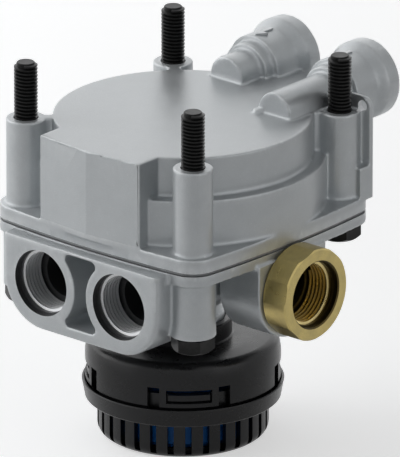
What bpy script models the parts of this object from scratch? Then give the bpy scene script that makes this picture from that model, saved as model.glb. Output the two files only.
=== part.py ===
"""Air brake relay valve with two control tubes, two delivery ports and an exhaust silencer.

The valve axis is Z and the silencer's base is at Z = 0. The delivery ports face -Y, the brass
supply port faces +X and the two control tubes open towards +Y. Lengths are in metres.
"""

import math

import bmesh
import bpy
from mathutils import Matrix, Vector

MM = 0.001

# Clearance between two pieces that sit against each other
SEAT_GAP = 0.3 * MM

# How far a cutter runs past the face that it opens, and how deep a joined piece is sunk
CUT_PAST = 2.0 * MM
SUNK = 1.0 * MM

# Four M8 screws hold cover, gasket and body together
BOLT_PITCH = 75.0 * MM
BOLT_RADIUS = 4.0 * MM
BOLT_CLEARANCE = 0.6 * MM
BOLT_STAND_OUT = 19.8 * MM
BOLT_TIP_CHAMFER = 0.8 * MM
BOLT_HEAD_HEIGHT = 5.3 * MM
BOLT_HEAD_ACROSS_FLATS = 13.0 * MM
BOLT_OFFSET = BOLT_PITCH / 2
BOLT_HOLE_RADIUS = BOLT_RADIUS + BOLT_CLEARANCE

# Flange outline shared by body, gasket and cover
FLANGE_BORDER = 4.4 * MM
FLANGE_BOW = 1.7 * MM
BODY_FLANGE_THICKNESS = 3.8 * MM
GASKET_THICKNESS = 0.5 * MM
GASKET_INSET = 0.35 * MM
GASKET_MARGIN = 3.5 * MM
COVER_FLANGE_THICKNESS = 4.7 * MM
FLANGE_CORNER_RADIUS = BOLT_HOLE_RADIUS + FLANGE_BORDER
FLANGE_HALF = BOLT_OFFSET + FLANGE_CORNER_RADIUS
FLANGE_REACH = FLANGE_HALF + FLANGE_BOW

# Drums of the cover and the bores inside them, set by the screws that they stand between
DRUM_TO_SCREW_AXIS = 4.63 * MM
LEDGE_WIDTH = 4.4 * MM
LOWER_DRUM_WALL = 4.4 * MM
UPPER_DRUM_WALL = 5.5 * MM
COVER_ROOF = 3.8 * MM
DRUM_CHAMFER = 0.5 * MM
LOWER_DRUM_RADIUS = BOLT_OFFSET * math.sqrt(2) - DRUM_TO_SCREW_AXIS
UPPER_DRUM_RADIUS = LOWER_DRUM_RADIUS - LEDGE_WIDTH
LOWER_BORE_RADIUS = LOWER_DRUM_RADIUS - LOWER_DRUM_WALL
UPPER_BORE_RADIUS = UPPER_DRUM_RADIUS - UPPER_DRUM_WALL

# Double seat valve, from its hollow stem outwards
VALVE_STEM_BORE = 4.4 * MM
VALVE_STEM_WALL = 1.8 * MM
VALVE_COLLAR_WALL = 0.5 * MM
VALVE_COLLAR_DROP = 0.8 * MM
VALVE_HEAD_BORDER = 0.5 * MM
VALVE_HEAD_THICKNESS = 2.5 * MM
VALVE_HEAD_CLEARANCE = 1.1 * MM
VALVE_STEM_OVERLAP = 5.0 * MM
VALVE_TRAVEL = 3.0 * MM
SEAL_THICKNESS = 2.8 * MM
SEAL_BORDER = 0.7 * MM
EXHAUST_SEAT_STEP = 0.3 * MM
EXHAUST_SEAT_WIDTH = 0.9 * MM
INLET_SEAT_CLEARANCE = 1.8 * MM
INLET_SEAT_LIP_WIDTH = 1.0 * MM
INLET_SEAT_LIP_HEIGHT = 0.6 * MM
VALVE_TUBE_RADIUS = VALVE_STEM_BORE + VALVE_STEM_WALL
SEAL_BORE_RADIUS = VALVE_STEM_BORE + VALVE_COLLAR_WALL + SEAT_GAP
EXHAUST_SEAT_RADIUS = SEAL_BORE_RADIUS + EXHAUST_SEAT_STEP
RELAY_STEM_RADIUS = EXHAUST_SEAT_RADIUS + EXHAUST_SEAT_WIDTH
INLET_SEAT_RADIUS = RELAY_STEM_RADIUS + INLET_SEAT_CLEARANCE
SEAL_RADIUS = INLET_SEAT_RADIUS + INLET_SEAT_LIP_WIDTH + SEAL_BORDER
VALVE_HEAD_RADIUS = SEAL_RADIUS + VALVE_HEAD_BORDER
VALVE_BORE_RADIUS = VALVE_HEAD_RADIUS + VALVE_HEAD_CLEARANCE

# Guide of the valve stem, its rings, the clip under it and the spring on it
GUIDE_RECESS = 3.8 * MM
GUIDE_HEIGHT = 6.7 * MM
GUIDE_CLEARANCE = 0.4 * MM
GUIDE_RING_WIRE = 0.85 * MM
GUIDE_RING_RISE = 1.9 * MM
STEM_RING_WIRE = 0.75 * MM
STEM_RING_DROP = 1.9 * MM
CLIP_THICKNESS = 1.0 * MM
CLIP_WIDTH = 2.2 * MM
CLIP_BITE = 0.7 * MM
CLIP_GROOVE_DEPTH = 1.0 * MM
CLIP_MOUTH_ANGLE = math.radians(42.0)
CLIP_LUG_RADIUS = 1.9 * MM
CLIP_LUG_INSET = 0.7 * MM
SPRING_CLEARANCE = 2.2 * MM
SPRING_WIRE = 0.55 * MM
SPRING_TURNS = 4
CLIP_OUTER_RADIUS = VALVE_BORE_RADIUS + CLIP_BITE
CLIP_INNER_RADIUS = CLIP_OUTER_RADIUS - CLIP_WIDTH
SPRING_RADIUS = VALVE_TUBE_RADIUS + SPRING_CLEARANCE

# M22 x 1.5 ports, front and supply
THREAD_RADIUS = 11.0 * MM
THREAD_DEPTH = 12.5 * MM
ENTRY_STEP = 0.6 * MM
ENTRY_DEPTH = 2.3 * MM
PORT_BORE_STEP = 2.7 * MM
PORT_BORE_LENGTH = 38.6 * MM
PORT_RING_WALL = 3.4 * MM
PORT_BLOCK_BORDER = 2.0 * MM
PORT_BLOCK_DEPTH = 24.6 * MM
PORT_BLOCK_STAND_OUT = 4.4 * MM
PORT_BLOCK_ROUNDING = 1.5 * MM
PORT_WAIST = 5.0 * MM
PORT_ROOF = 3.1 * MM
BARREL_WALL = 3.5 * MM
DELIVERY_RISER_RADIUS = 5.0 * MM
ENTRY_RADIUS = THREAD_RADIUS + ENTRY_STEP
PORT_BORE_RADIUS = THREAD_RADIUS - PORT_BORE_STEP
BARREL_RADIUS = PORT_BORE_RADIUS + BARREL_WALL
POCKET_RING_RADIUS = ENTRY_RADIUS + PORT_RING_WALL
PORT_BLOCK_RADIUS = POCKET_RING_RADIUS + PORT_BLOCK_BORDER
PORT_SPACING = 2 * POCKET_RING_RADIUS + PORT_WAIST
PORT_X = (-PORT_SPACING / 2, PORT_SPACING / 2)
PORT_BLOCK_HALF_WIDTH = PORT_SPACING / 2 + PORT_BLOCK_RADIUS
PORT_BLOCK_FACE_Y = -FLANGE_REACH - PORT_BLOCK_STAND_OUT
PORT_BLOCK_BACK_Y = PORT_BLOCK_FACE_Y + PORT_BLOCK_DEPTH
PORT_BORE_END_Y = PORT_BLOCK_FACE_Y + PORT_BORE_LENGTH
BARREL_BACK_Y = PORT_BORE_END_Y + BARREL_WALL
DELIVERY_RISER_Y = PORT_BORE_END_Y - DELIVERY_RISER_RADIUS

# Silencer, from the housing's skirt inwards and from the base upwards
HOUSING_RADIUS = 33.3 * MM
HOUSING_WALL = 1.6 * MM
HOUSING_CROWN = 2.6 * MM
HOUSING_ROOF = 2.2 * MM
HOUSING_FOOT_GAP = 0.8 * MM
SKIRT_STEP = 0.8 * MM
SKIRT_RISE = 0.8 * MM
SHOULDER_STEP = 1.5 * MM
SHOULDER_RISE = 5.8 * MM
SHOULDER_DROP = 3.0 * MM
SHOULDER_ROUNDING = 3.2 * MM
SHOULDER_INSET = 2.2 * MM
SHOULDER_SINK = 0.6 * MM
NECK_WALL = 2.2 * MM
NECK_HEIGHT = 6.4 * MM
NECK_LIP = 1.5 * MM
CAGE_HEIGHT = 13.4 * MM
CAGE_STEP = 1.9 * MM
CAGE_WALL = 2.2 * MM
CAGE_BASE_ROUNDING = 4.0 * MM
CAGE_BASE_THICKNESS = 2.4 * MM
CAGE_SLOTS = 30
CAGE_SLOT_WIDTH = 2.2 * MM
CAGE_SLOT_DEPTH = 4.6 * MM
CAGE_SLOT_FOOT_Z = 1.6 * MM
CAGE_SLOT_ROOF = 0.4 * MM
COLLAR_HEIGHT = 6.2 * MM
COLLAR_FLOOR = 1.4 * MM
COLLAR_CLEARANCE = 0.4 * MM
COLLAR_FOOT_WALL = 0.5 * MM
COLLAR_FLARE = 1.0 * MM
COLLAR_RIM_WALL = 0.8 * MM
COLLAR_RIM_HEIGHT = 2.0 * MM
LATCH_RING_CLEARANCE = 0.6 * MM
LATCH_RING_WALL = 1.6 * MM
LATCH_RING_DROP = 0.1 * MM
LATCH_RISE = 0.8 * MM
LATCH_HEIGHT = 2.0 * MM
LATCH_REACH = 1.6 * MM
LATCH_SIDE_ANGLE = math.radians(1.0)
TAB_WINDOW_HALF_ANGLE = math.radians(13.6)
TAB_WINDOW_RISE = 1.4 * MM
TAB_WINDOW_HEIGHT = 4.7 * MM
TAB_SLOT_ANGLES = (math.radians(17.6), math.radians(24.9))
TAB_SLOT_RISE = 0.7 * MM
TAB_DIRECTIONS = tuple(math.radians(angle) for angle in (45.0, 135.0, 225.0, 315.0))
INSERT_CLEARANCE = 1.0 * MM
INSERT_WALL = 1.5 * MM
INSERT_CHAMFER = 2.0 * MM
INSERT_RISE = 16.6 * MM
RIVET_RADIUS = 3.0 * MM
RIVET_HEAD_RADIUS = 5.0 * MM
RIVET_HEAD_HEIGHT = 2.0 * MM
RIVET_HEAD_CHAMFER = 0.8 * MM
SKIRT_RADIUS = HOUSING_RADIUS - SKIRT_STEP
HOUSING_SHOULDER_RADIUS = HOUSING_RADIUS - SHOULDER_STEP
HOUSING_BORE_RADIUS = HOUSING_RADIUS - HOUSING_WALL
COLLAR_BORE_RADIUS = SKIRT_RADIUS + COLLAR_CLEARANCE
COLLAR_FOOT_RADIUS = COLLAR_BORE_RADIUS + COLLAR_FOOT_WALL
COLLAR_RIM_RADIUS = COLLAR_FOOT_RADIUS + COLLAR_FLARE
LATCH_RING_RADIUS = HOUSING_BORE_RADIUS - LATCH_RING_CLEARANCE
CAGE_RADIUS = LATCH_RING_RADIUS - CAGE_STEP
CAGE_SLOT_INNER_RADIUS = CAGE_RADIUS - CAGE_SLOT_DEPTH
INSERT_RADIUS = CAGE_RADIUS - CAGE_WALL - INSERT_CLEARANCE
COLLAR_RIM_Z = CAGE_HEIGHT + COLLAR_HEIGHT
HOUSING_FOOT_Z = CAGE_HEIGHT + COLLAR_FLOOR + HOUSING_FOOT_GAP
SKIRT_TOP_Z = COLLAR_RIM_Z + SKIRT_RISE
TAB_WINDOW_FOOT_Z = SKIRT_TOP_Z + TAB_WINDOW_RISE
TAB_WINDOW_TOP_Z = TAB_WINDOW_FOOT_Z + TAB_WINDOW_HEIGHT
TAB_SLOT_TOP_Z = TAB_WINDOW_TOP_Z + TAB_SLOT_RISE
LATCH_Z = TAB_WINDOW_FOOT_Z + LATCH_RISE
LATCH_RING_TOP_Z = LATCH_Z + LATCH_HEIGHT - LATCH_RING_DROP
INSERT_TOP_Z = CAGE_HEIGHT + INSERT_RISE
HOUSING_SHOULDER_Z = TAB_SLOT_TOP_Z + SHOULDER_RISE
HOUSING_TOP_Z = HOUSING_SHOULDER_Z + HOUSING_CROWN
NECK_TOP_Z = HOUSING_TOP_Z + NECK_HEIGHT

# Body, upwards from the spigot that the silencer's neck holds
SPIGOT_ENGAGEMENT = 3.5 * MM
SPIGOT_COLLAR = 2.5 * MM
SPIGOT_GROOVE_HEIGHT = 4.1 * MM
SPIGOT_GROOVE_DEPTH = 1.0 * MM
SPIGOT_WALL = 2.7 * MM
CORE_WALL = 2.5 * MM
CORE_DROP = 14.9 * MM
SUPPLY_CHAMBER_CLEARANCE = 2.4 * MM
SUPPLY_CHAMBER_RISE = 4.0 * MM
SUPPLY_CHAMBER_CHAMFER = 1.3 * MM
BOWL_DEPTH = 6.7 * MM
BOWL_MARGIN = 12.5 * MM
BOWL_WALL = 3.5 * MM
BOWL_FLOOR = 5.5 * MM
SPIGOT_FOOT_Z = NECK_TOP_Z - SPIGOT_ENGAGEMENT
SPIGOT_COLLAR_Z = NECK_TOP_Z + SPIGOT_COLLAR
CORE_FOOT_Z = SPIGOT_COLLAR_Z + SPIGOT_GROOVE_HEIGHT
PORT_Z = CORE_FOOT_Z + CORE_DROP
BODY_TOP_Z = PORT_Z + ENTRY_RADIUS + PORT_ROOF
BODY_FLANGE_FOOT_Z = BODY_TOP_Z - BODY_FLANGE_THICKNESS
DELIVERY_BOWL_FLOOR_Z = BODY_TOP_Z - BOWL_DEPTH
SUPPLY_CHAMBER_ROOF_Z = DELIVERY_BOWL_FLOOR_Z - BOWL_FLOOR
DELIVERY_DRUM_FOOT_Z = SUPPLY_CHAMBER_ROOF_Z
GUIDE_FOOT_Z = SPIGOT_FOOT_Z + GUIDE_RECESS
GUIDE_TOP_Z = GUIDE_FOOT_Z + GUIDE_HEIGHT
GUIDE_RING_Z = GUIDE_FOOT_Z + GUIDE_RING_RISE
STEM_RING_Z = GUIDE_TOP_Z - STEM_RING_DROP
CLIP_TOP_Z = GUIDE_FOOT_Z - SEAT_GAP
SUPPLY_CHAMBER_FLOOR_Z = GUIDE_TOP_Z + SUPPLY_CHAMBER_RISE
SPIGOT_RADIUS = VALVE_BORE_RADIUS + SPIGOT_WALL
SPIGOT_GROOVE_RADIUS = SPIGOT_RADIUS - SPIGOT_GROOVE_DEPTH
NECK_BORE_RADIUS = SPIGOT_RADIUS + SEAT_GAP
NECK_RADIUS = NECK_BORE_RADIUS + NECK_WALL
SUPPLY_CHAMBER_RADIUS = VALVE_HEAD_RADIUS + SUPPLY_CHAMBER_CLEARANCE
CORE_RADIUS = SUPPLY_CHAMBER_RADIUS + CORE_WALL
DELIVERY_BOWL_RADIUS = LOWER_BORE_RADIUS - BOWL_MARGIN
DELIVERY_DRUM_RADIUS = DELIVERY_BOWL_RADIUS + BOWL_WALL

# Columns and ribs at the screws, and the pocket between the port rings
COLUMN_WALL = 3.2 * MM
COLUMN_HEIGHT = 19.6 * MM
SPOT_FACE_CLEARANCE = 0.7 * MM
RIB_THICKNESS = 4.0 * MM
RIB_RISE = 2.0 * MM
RIB_END_HEIGHT = 1.6 * MM
RIB_END_GAP = 2.5 * MM
DRUM_FOOT_CHAMFER = 1.5 * MM
POCKET_HALF_WIDTH = 6.8 * MM
POCKET_CORNER = 1.8 * MM
POCKET_SHOULDER = 0.7 * MM
POCKET_DEPTH = 13.0 * MM
COLUMN_RADIUS = BOLT_HOLE_RADIUS + COLUMN_WALL
COLUMN_FOOT_Z = BODY_FLANGE_FOOT_Z - COLUMN_HEIGHT
BOLT_HEAD_CORNER_RADIUS = BOLT_HEAD_ACROSS_FLATS / math.sqrt(3)
SPOT_FACE_RADIUS = BOLT_HEAD_CORNER_RADIUS + SPOT_FACE_CLEARANCE

# Brass supply adapter, the pad and passage behind it and its sealing ring
ADAPTER_LENGTH = 10.1 * MM
ADAPTER_TURN = math.radians(17.0)
ADAPTER_SHANK_WALL = 2.0 * MM
ADAPTER_SHANK_LENGTH = 12.0 * MM
ADAPTER_SHOULDER = 2.1 * MM
ADAPTER_CORNER = 0.9 * MM
ADAPTER_CHAMFER = 0.5 * MM
ADAPTER_SEAL_WIRE = 0.9 * MM
ADAPTER_SEAL_SLACK = 1.5 * MM
SUPPLY_PAD_STAND_OUT = 1.0 * MM
SUPPLY_PAD_BORDER = 1.1 * MM
SUPPLY_PAD_FLOOR = 2.5 * MM
SUPPLY_PASSAGE_RADIUS = 5.5 * MM
SUPPLY_PASSAGE_ROOF = 1.0 * MM
SUPPLY_LINK_WALL = 2.0 * MM
ADAPTER_SHANK_RADIUS = THREAD_RADIUS + ADAPTER_SHANK_WALL
ADAPTER_ACROSS_FLATS = 2 * (ADAPTER_SHANK_RADIUS + ADAPTER_SHOULDER)
ADAPTER_CORNER_RADIUS = ADAPTER_ACROSS_FLATS / 2 + ADAPTER_CORNER
SUPPLY_PAD_RADIUS = ADAPTER_CORNER_RADIUS + SUPPLY_PAD_BORDER
SUPPLY_PAD_FACE_X = FLANGE_REACH + SUPPLY_PAD_STAND_OUT
ADAPTER_FACE_X = SUPPLY_PAD_FACE_X + SEAT_GAP
ADAPTER_END_X = ADAPTER_FACE_X + ADAPTER_LENGTH
SUPPLY_SOCKET_LENGTH = ADAPTER_SHANK_LENGTH + 2 * ADAPTER_SEAL_WIRE + ADAPTER_SEAL_SLACK
SUPPLY_SOCKET_END_X = SUPPLY_PAD_FACE_X - SUPPLY_SOCKET_LENGTH
SUPPLY_PAD_BACK_X = SUPPLY_SOCKET_END_X - SUPPLY_PAD_FLOOR
SUPPLY_PASSAGE_Z = SUPPLY_CHAMBER_ROOF_Z - SUPPLY_PASSAGE_ROOF - SUPPLY_PASSAGE_RADIUS
SUPPLY_LINK_RADIUS = PORT_Z - SUPPLY_PASSAGE_Z + SUPPLY_PASSAGE_RADIUS + SUPPLY_LINK_WALL

# Pistons, upwards from the gasket
PISTON_CLEARANCE = 0.4 * MM
PISTON_CHAMFER = 0.6 * MM
PISTON_RIM_WIDTH = 6.0 * MM
PISTON_DISH = 2.6 * MM
RING_WIRE = 1.35 * MM
RING_GROOVE_DEPTH = 3.0 * MM
RING_GROOVE_HEIGHT = 3.4 * MM
RING_GROOVE_DROP = 2.7 * MM
RELAY_TRAVEL = 4.5 * MM
RELAY_FLOOR_GAP = 2.0 * MM
RELAY_THICKNESS = 7.0 * MM
RELAY_HEADROOM = 4.0 * MM
RELAY_HUB_RADIUS = 10.0 * MM
RELAY_HUB_HEIGHT = 5.7 * MM
RELAY_UNDERSIDE = 1.8 * MM
RELAY_STEM_FILLET = 3.0 * MM
EXHAUST_CUP_DEPTH = 6.0 * MM
EXHAUST_CUP_TAPER = 0.8 * MM
CONTROL_PISTON_THICKNESS = 7.0 * MM
CONTROL_HEADROOM = 4.9 * MM
STOP_RADIUS = 6.0 * MM
STOP_PAD_BORDER = 2.0 * MM
GASKET_FOOT_Z = BODY_TOP_Z + SEAT_GAP
GASKET_TOP_Z = GASKET_FOOT_Z + GASKET_THICKNESS
COVER_FOOT_Z = GASKET_TOP_Z + SEAT_GAP
COVER_FLANGE_TOP_Z = COVER_FOOT_Z + COVER_FLANGE_THICKNESS
RELAY_FOOT_Z = GASKET_TOP_Z + RELAY_TRAVEL + RELAY_FLOOR_GAP
RELAY_TOP_Z = RELAY_FOOT_Z + RELAY_THICKNESS
LOWER_BORE_ROOF_Z = RELAY_TOP_Z + RELAY_HEADROOM
LEDGE_Z = LOWER_BORE_ROOF_Z + COVER_ROOF
CONTROL_PISTON_FOOT_Z = RELAY_TOP_Z + RELAY_HUB_HEIGHT + SEAT_GAP
CONTROL_PISTON_TOP_Z = CONTROL_PISTON_FOOT_Z + CONTROL_PISTON_THICKNESS
UPPER_BORE_ROOF_Z = CONTROL_PISTON_TOP_Z + CONTROL_HEADROOM
COVER_TOP_Z = UPPER_BORE_ROOF_Z + COVER_ROOF
BOLT_TOP_Z = COVER_TOP_Z + BOLT_STAND_OUT
SEAL_TOP_Z = SUPPLY_CHAMBER_ROOF_Z - INLET_SEAT_LIP_HEIGHT - SEAT_GAP
VALVE_HEAD_TOP_Z = SEAL_TOP_Z - SEAL_THICKNESS - SEAT_GAP
VALVE_HEAD_FOOT_Z = VALVE_HEAD_TOP_Z - VALVE_HEAD_THICKNESS
VALVE_FOOT_Z = GUIDE_TOP_Z - VALVE_STEM_OVERLAP
RELAY_STEM_FOOT_Z = SEAL_TOP_Z + SEAT_GAP + RELAY_TRAVEL - VALVE_TRAVEL

# Sleeves, webs and prow of the cover
SLEEVE_WALL = 2.2 * MM
WEB_THICKNESS = 4.4 * MM
PROW_HALF_WIDTH = 22.2 * MM
PROW_RIDGE = 1.8 * MM
PROW_STAND_OUT = 1.0 * MM
SLEEVE_RADIUS = BOLT_HOLE_RADIUS + SLEEVE_WALL
PROW_RIDGE_Y = -LOWER_DRUM_RADIUS - PROW_STAND_OUT
PROW_CORNER_Y = PROW_RIDGE_Y + PROW_RIDGE

# Ear plate and corner block, behind the rear screws
EAR_PLATE_SETBACK = 0.2 * MM
EAR_PLATE_THICKNESS = 1.8 * MM
EAR_PLATE_OVERHANG = 9.1 * MM
EAR_RISE = 4.8 * MM
EAR_GAP_DEPTH = 2.8 * MM
EAR_GAP_MARGIN = 3.0 * MM
EAR_LEFT_REACH = 11.65 * MM
EAR_CORNER_RADIUS = 3.5 * MM
EAR_HOLE_RADIUS = 1.95 * MM
EAR_HOLE_INSET = 3.4 * MM
CORNER_BLOCK_DEPTH = 6.7 * MM
CORNER_BLOCK_WIDTH = 7.6 * MM
CORNER_BLOCK_DROP = 5.3 * MM
EAR_PLATE_BACK_Y = BOLT_OFFSET + SLEEVE_RADIUS + EAR_PLATE_SETBACK
EAR_PLATE_RIGHT_X = BOLT_OFFSET + EAR_PLATE_OVERHANG
EAR_PLATE_TOP_Z = COVER_TOP_Z + EAR_RISE
EAR_HOLE_X = EAR_PLATE_RIGHT_X - EAR_HOLE_INSET
EAR_HOLE_Z = EAR_PLATE_TOP_Z - EAR_HOLE_INSET
CORNER_BLOCK_TOP_Z = LEDGE_Z - CORNER_BLOCK_DROP

# Control tubes, M16 x 1.5 inside, cast on the cover
TUBE_RISE = 1.2 * MM
TUBE_TO_SCREW = 12.3 * MM
TUBE_SPACING = 35.55 * MM
TUBE_FRONT_LENGTH = (10.0 * MM, 26.0 * MM)
TUBE_STEP_SINK = 0.5 * MM
TUBE_STEP_LENGTH = 4.0 * MM
TUBE_BARREL_LENGTH = 10.6 * MM
TUBE_FLARE_LENGTH = 3.3 * MM
TUBE_RIM_LENGTH = 5.1 * MM
TUBE_THREAD_RADIUS = 8.0 * MM
TUBE_THREAD_DEPTH = 13.0 * MM
TUBE_WALL = 3.2 * MM
TUBE_FLARE = 2.5 * MM
TUBE_BARREL_STEP = 1.9 * MM
TUBE_FRONT_STEP = 2.15 * MM
TUBE_ENTRY_STEP = 0.9 * MM
TUBE_ENTRY_DEPTH = 1.6 * MM
TUBE_BORE_RADIUS = 4.0 * MM
TUBE_BORE_CONE = 2.0 * MM
TUBE_BORE_END = 0.2 * MM
TUBE_MOUTH_CHAMFER = 0.6 * MM
TUBE_STEP_CHAMFER = 0.7 * MM
TUBE_WEB_HEIGHT = 8.0 * MM
TUBE_WEB_REACH = 0.2 * MM
CONTROL_DRILL_RADIUS = 1.4 * MM
CONTROL_DRILL_STEPS = (-1.04 * MM, 2.39 * MM)
CONTROL_DRILL_BREAK = 0.4 * MM
TUBE_AXIS_Z = COVER_TOP_Z + TUBE_RISE
TUBE_X = (BOLT_OFFSET - TUBE_TO_SCREW - TUBE_SPACING, BOLT_OFFSET - TUBE_TO_SCREW)
TUBE_STEP_Y = EAR_PLATE_BACK_Y - TUBE_STEP_SINK
TUBE_FRONT_Y = tuple(TUBE_STEP_Y - length for length in TUBE_FRONT_LENGTH)
TUBE_BARREL_Y = TUBE_STEP_Y + TUBE_STEP_LENGTH
TUBE_FLARE_Y = TUBE_BARREL_Y + TUBE_BARREL_LENGTH
TUBE_RIM_Y = TUBE_FLARE_Y + TUBE_FLARE_LENGTH
TUBE_MOUTH_Y = TUBE_RIM_Y + TUBE_RIM_LENGTH
TUBE_BARREL_RADIUS = TUBE_THREAD_RADIUS + TUBE_WALL
TUBE_RIM_RADIUS = TUBE_BARREL_RADIUS + TUBE_FLARE
TUBE_STEP_RADIUS = TUBE_BARREL_RADIUS - TUBE_BARREL_STEP
TUBE_FRONT_RADIUS = TUBE_STEP_RADIUS - TUBE_FRONT_STEP
TUBE_ENTRY_RADIUS = TUBE_THREAD_RADIUS + TUBE_ENTRY_STEP
TUBE_WEB_BACK_Y = TUBE_FLARE_Y + TUBE_WEB_REACH
CONTROL_DRILL_Y = tuple(
    math.sqrt((UPPER_BORE_RADIUS + step) ** 2 - x**2) for step, x in zip(CONTROL_DRILL_STEPS, TUBE_X)
)
EAR_PLATE_LEFT_X = TUBE_X[0] - EAR_LEFT_REACH

SMOOTH_ANGLE = math.radians(35.0)

# Facets round the bores and the turned pieces. Rings share the facets of the groove they lie in
DRUM_FACETS = 48
BORE_FACETS = 36
CORE_FACETS = 32
PORT_FACETS = 28
COLUMN_FACETS = 24
SLEEVE_FACETS = 20
TUBE_FACETS = 22
HOLE_FACETS = 12
SOCKET_FACETS = 40
PISTON_FACETS = 24
GUIDE_FACETS = 20

# Bores are turned a little, so that their facets don't line up with the part's own
BORE_TURN = Matrix.Rotation(math.radians(4.0), 4, "Z")


def reset_scene():
    """Remove what the file holds and return the two collections of the model."""
    for old in list(bpy.data.objects):
        bpy.data.objects.remove(old, do_unlink=True)
    groups = []
    for name in ("air_brake_relay_valve", "cutters"):
        group = bpy.data.collections.new(name)
        bpy.context.scene.collection.children.link(group)
        groups.append(group)
    return groups


PARTS, CUTTERS = reset_scene()


def make_material(name, colour, roughness, metallic):
    """A Principled material with one colour."""
    material = bpy.data.materials.new(name)
    material.use_nodes = True
    shader = material.node_tree.nodes["Principled BSDF"]
    shader.inputs["Base Color"].default_value = (*colour, 1.0)
    shader.inputs["Roughness"].default_value = roughness
    shader.inputs["Metallic"].default_value = metallic
    material.diffuse_color = (*colour, 1.0)
    return material


def finish_part(part, colour, roughness, metallic):
    """Give a part its own material and smooth shading."""
    part.data.materials.clear()
    part.data.materials.append(make_material(part.name, colour, roughness, metallic))
    part.data.shade_smooth()
    part.data.set_sharp_from_angle(angle=SMOOTH_ANGLE)
    return part


def link_shape(name, mesh, group):
    """Make an object for a mesh, in the parts or as a hidden tool."""
    shape = bpy.data.objects.new(name, mesh)
    group.objects.link(shape)
    if group is CUTTERS:
        shape.hide_render = True
        shape.display_type = "WIRE"
    return shape


def mesh_from(build, turn=None):
    """Fill a bmesh with build(bm), turn it and return it as a mesh."""
    bm = bmesh.new()
    build(bm)
    if turn is not None:
        bmesh.ops.transform(bm, matrix=turn, verts=bm.verts)
    mesh = bpy.data.meshes.new("shape")
    bm.to_mesh(mesh)
    bm.free()
    return mesh


def along(direction):
    """Rotation that turns +Z to the given direction."""
    return Vector((0, 0, 1)).rotation_difference(Vector(direction)).to_matrix().to_4x4()


def cylinder(name, radius, start, end, segments, group=None):
    """A cylinder between two points."""
    start, end = Vector(start), Vector(end)
    length = (end - start).length
    place = Matrix.Translation((start + end) / 2) @ along((end - start).normalized())

    def build(bm):
        bmesh.ops.create_cone(
            bm, cap_ends=True, segments=segments, radius1=radius, radius2=radius, depth=length
        )

    return link_shape(name, mesh_from(build, place), group or CUTTERS)


def box(name, low, high, group=None):
    """A box between its lowest and highest corners."""
    low, high = Vector(low), Vector(high)
    size = high - low

    def build(bm):
        bmesh.ops.create_cube(bm, size=1.0)
        bmesh.ops.scale(bm, vec=size, verts=bm.verts)
        bmesh.ops.translate(bm, vec=(low + high) / 2, verts=bm.verts)

    return link_shape(name, mesh_from(build), group or CUTTERS)


def turned(name, profile, segments, group=None, place=None):
    """Revolve a closed profile of (radius, height) points about Z with a Screw modifier.

    The profile runs down its outer side, so that the faces point outwards.
    """
    mesh = bpy.data.meshes.new(name)
    points = [(radius, 0.0, height) for radius, height in profile]
    closed = all(radius > 0 for radius, _ in profile)
    count = len(points)
    edges = [(i, i + 1) for i in range(count - 1)]
    if closed:
        edges.append((count - 1, 0))
    mesh.from_pydata(points, edges, [])
    shape = link_shape(name, mesh, CUTTERS)
    screw = shape.modifiers.new("turn", "SCREW")
    screw.axis = "Z"
    screw.angle = math.tau
    screw.steps = segments
    screw.render_steps = segments
    screw.use_merge_vertices = True
    screw.merge_threshold = 0.00001
    return baked(shape, name, group or CUTTERS, place)


def outline_plate(name, outlines, thickness, group=None, place=None):
    """A flat plate from closed outlines, the later ones holes, standing on the XY plane."""
    curve = bpy.data.curves.new(name, "CURVE")
    curve.dimensions = "2D"
    curve.fill_mode = "BOTH"
    curve.extrude = thickness / 2
    for outline in outlines:
        spline = curve.splines.new("POLY")
        spline.points.add(len(outline) - 1)
        for point, (x, y) in zip(spline.points, outline):
            point.co = (x, y, 0.0, 1.0)
        spline.use_cyclic_u = True
    shape = link_shape(name, curve, CUTTERS)
    lift = Matrix.Translation((0, 0, thickness / 2))
    return baked(shape, name, group or CUTTERS, (place or Matrix()) @ lift)


def baked(shape, name, group, place=None):
    """Turn a curve or a modified object into a welded mesh in its final place."""
    graph = bpy.context.evaluated_depsgraph_get()
    mesh = bpy.data.meshes.new_from_object(shape.evaluated_get(graph))
    bpy.data.objects.remove(shape, do_unlink=True)
    bm = bmesh.new()
    bm.from_mesh(mesh)
    bmesh.ops.remove_doubles(bm, verts=bm.verts, dist=0.000001)
    if place is not None:
        bmesh.ops.transform(bm, matrix=place, verts=bm.verts)
    bmesh.ops.recalc_face_normals(bm, faces=bm.faces)
    bm.to_mesh(mesh)
    bm.free()
    return link_shape(name, mesh, group)


def boolean(part, tools, operation):
    """Add one Boolean modifier for each tool."""
    for tool in tools:
        modifier = part.modifiers.new(tool.name, "BOOLEAN")
        modifier.operation = operation
        modifier.solver = "EXACT"
        modifier.object = tool
    return part


def join(part, *tools):
    return boolean(part, tools, "UNION")


def cut(part, *tools):
    return boolean(part, tools, "DIFFERENCE")


def arc(centre, radius, start, end, steps):
    """Points on an arc, both ends included."""
    points = []
    for i in range(steps + 1):
        angle = start + (end - start) * i / steps
        points.append((centre[0] + radius * math.cos(angle), centre[1] + radius * math.sin(angle)))
    return points


def circle(centre, radius, steps):
    """Points round a full circle."""
    return arc(centre, radius, 0.0, math.tau, steps)[:-1]


def flange_outline(inset=0.0, corner_steps=5, side_steps=5):
    """Square with corners rounded about the screws and slightly bowed sides."""
    radius = FLANGE_CORNER_RADIUS - inset
    points = []
    for quarter in range(4):
        heading = quarter * math.pi / 2
        turn = Matrix.Rotation(heading, 2)
        corner = turn @ Vector((BOLT_OFFSET, BOLT_OFFSET))
        points += arc(corner, radius, heading, heading + math.pi / 2, corner_steps)
        for i in range(1, side_steps):
            share = 2 * i / side_steps - 1
            side = Vector((-share * BOLT_OFFSET, BOLT_OFFSET + radius + FLANGE_BOW * (1 - share**2)))
            points.append(tuple(turn @ side))
    return points


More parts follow.
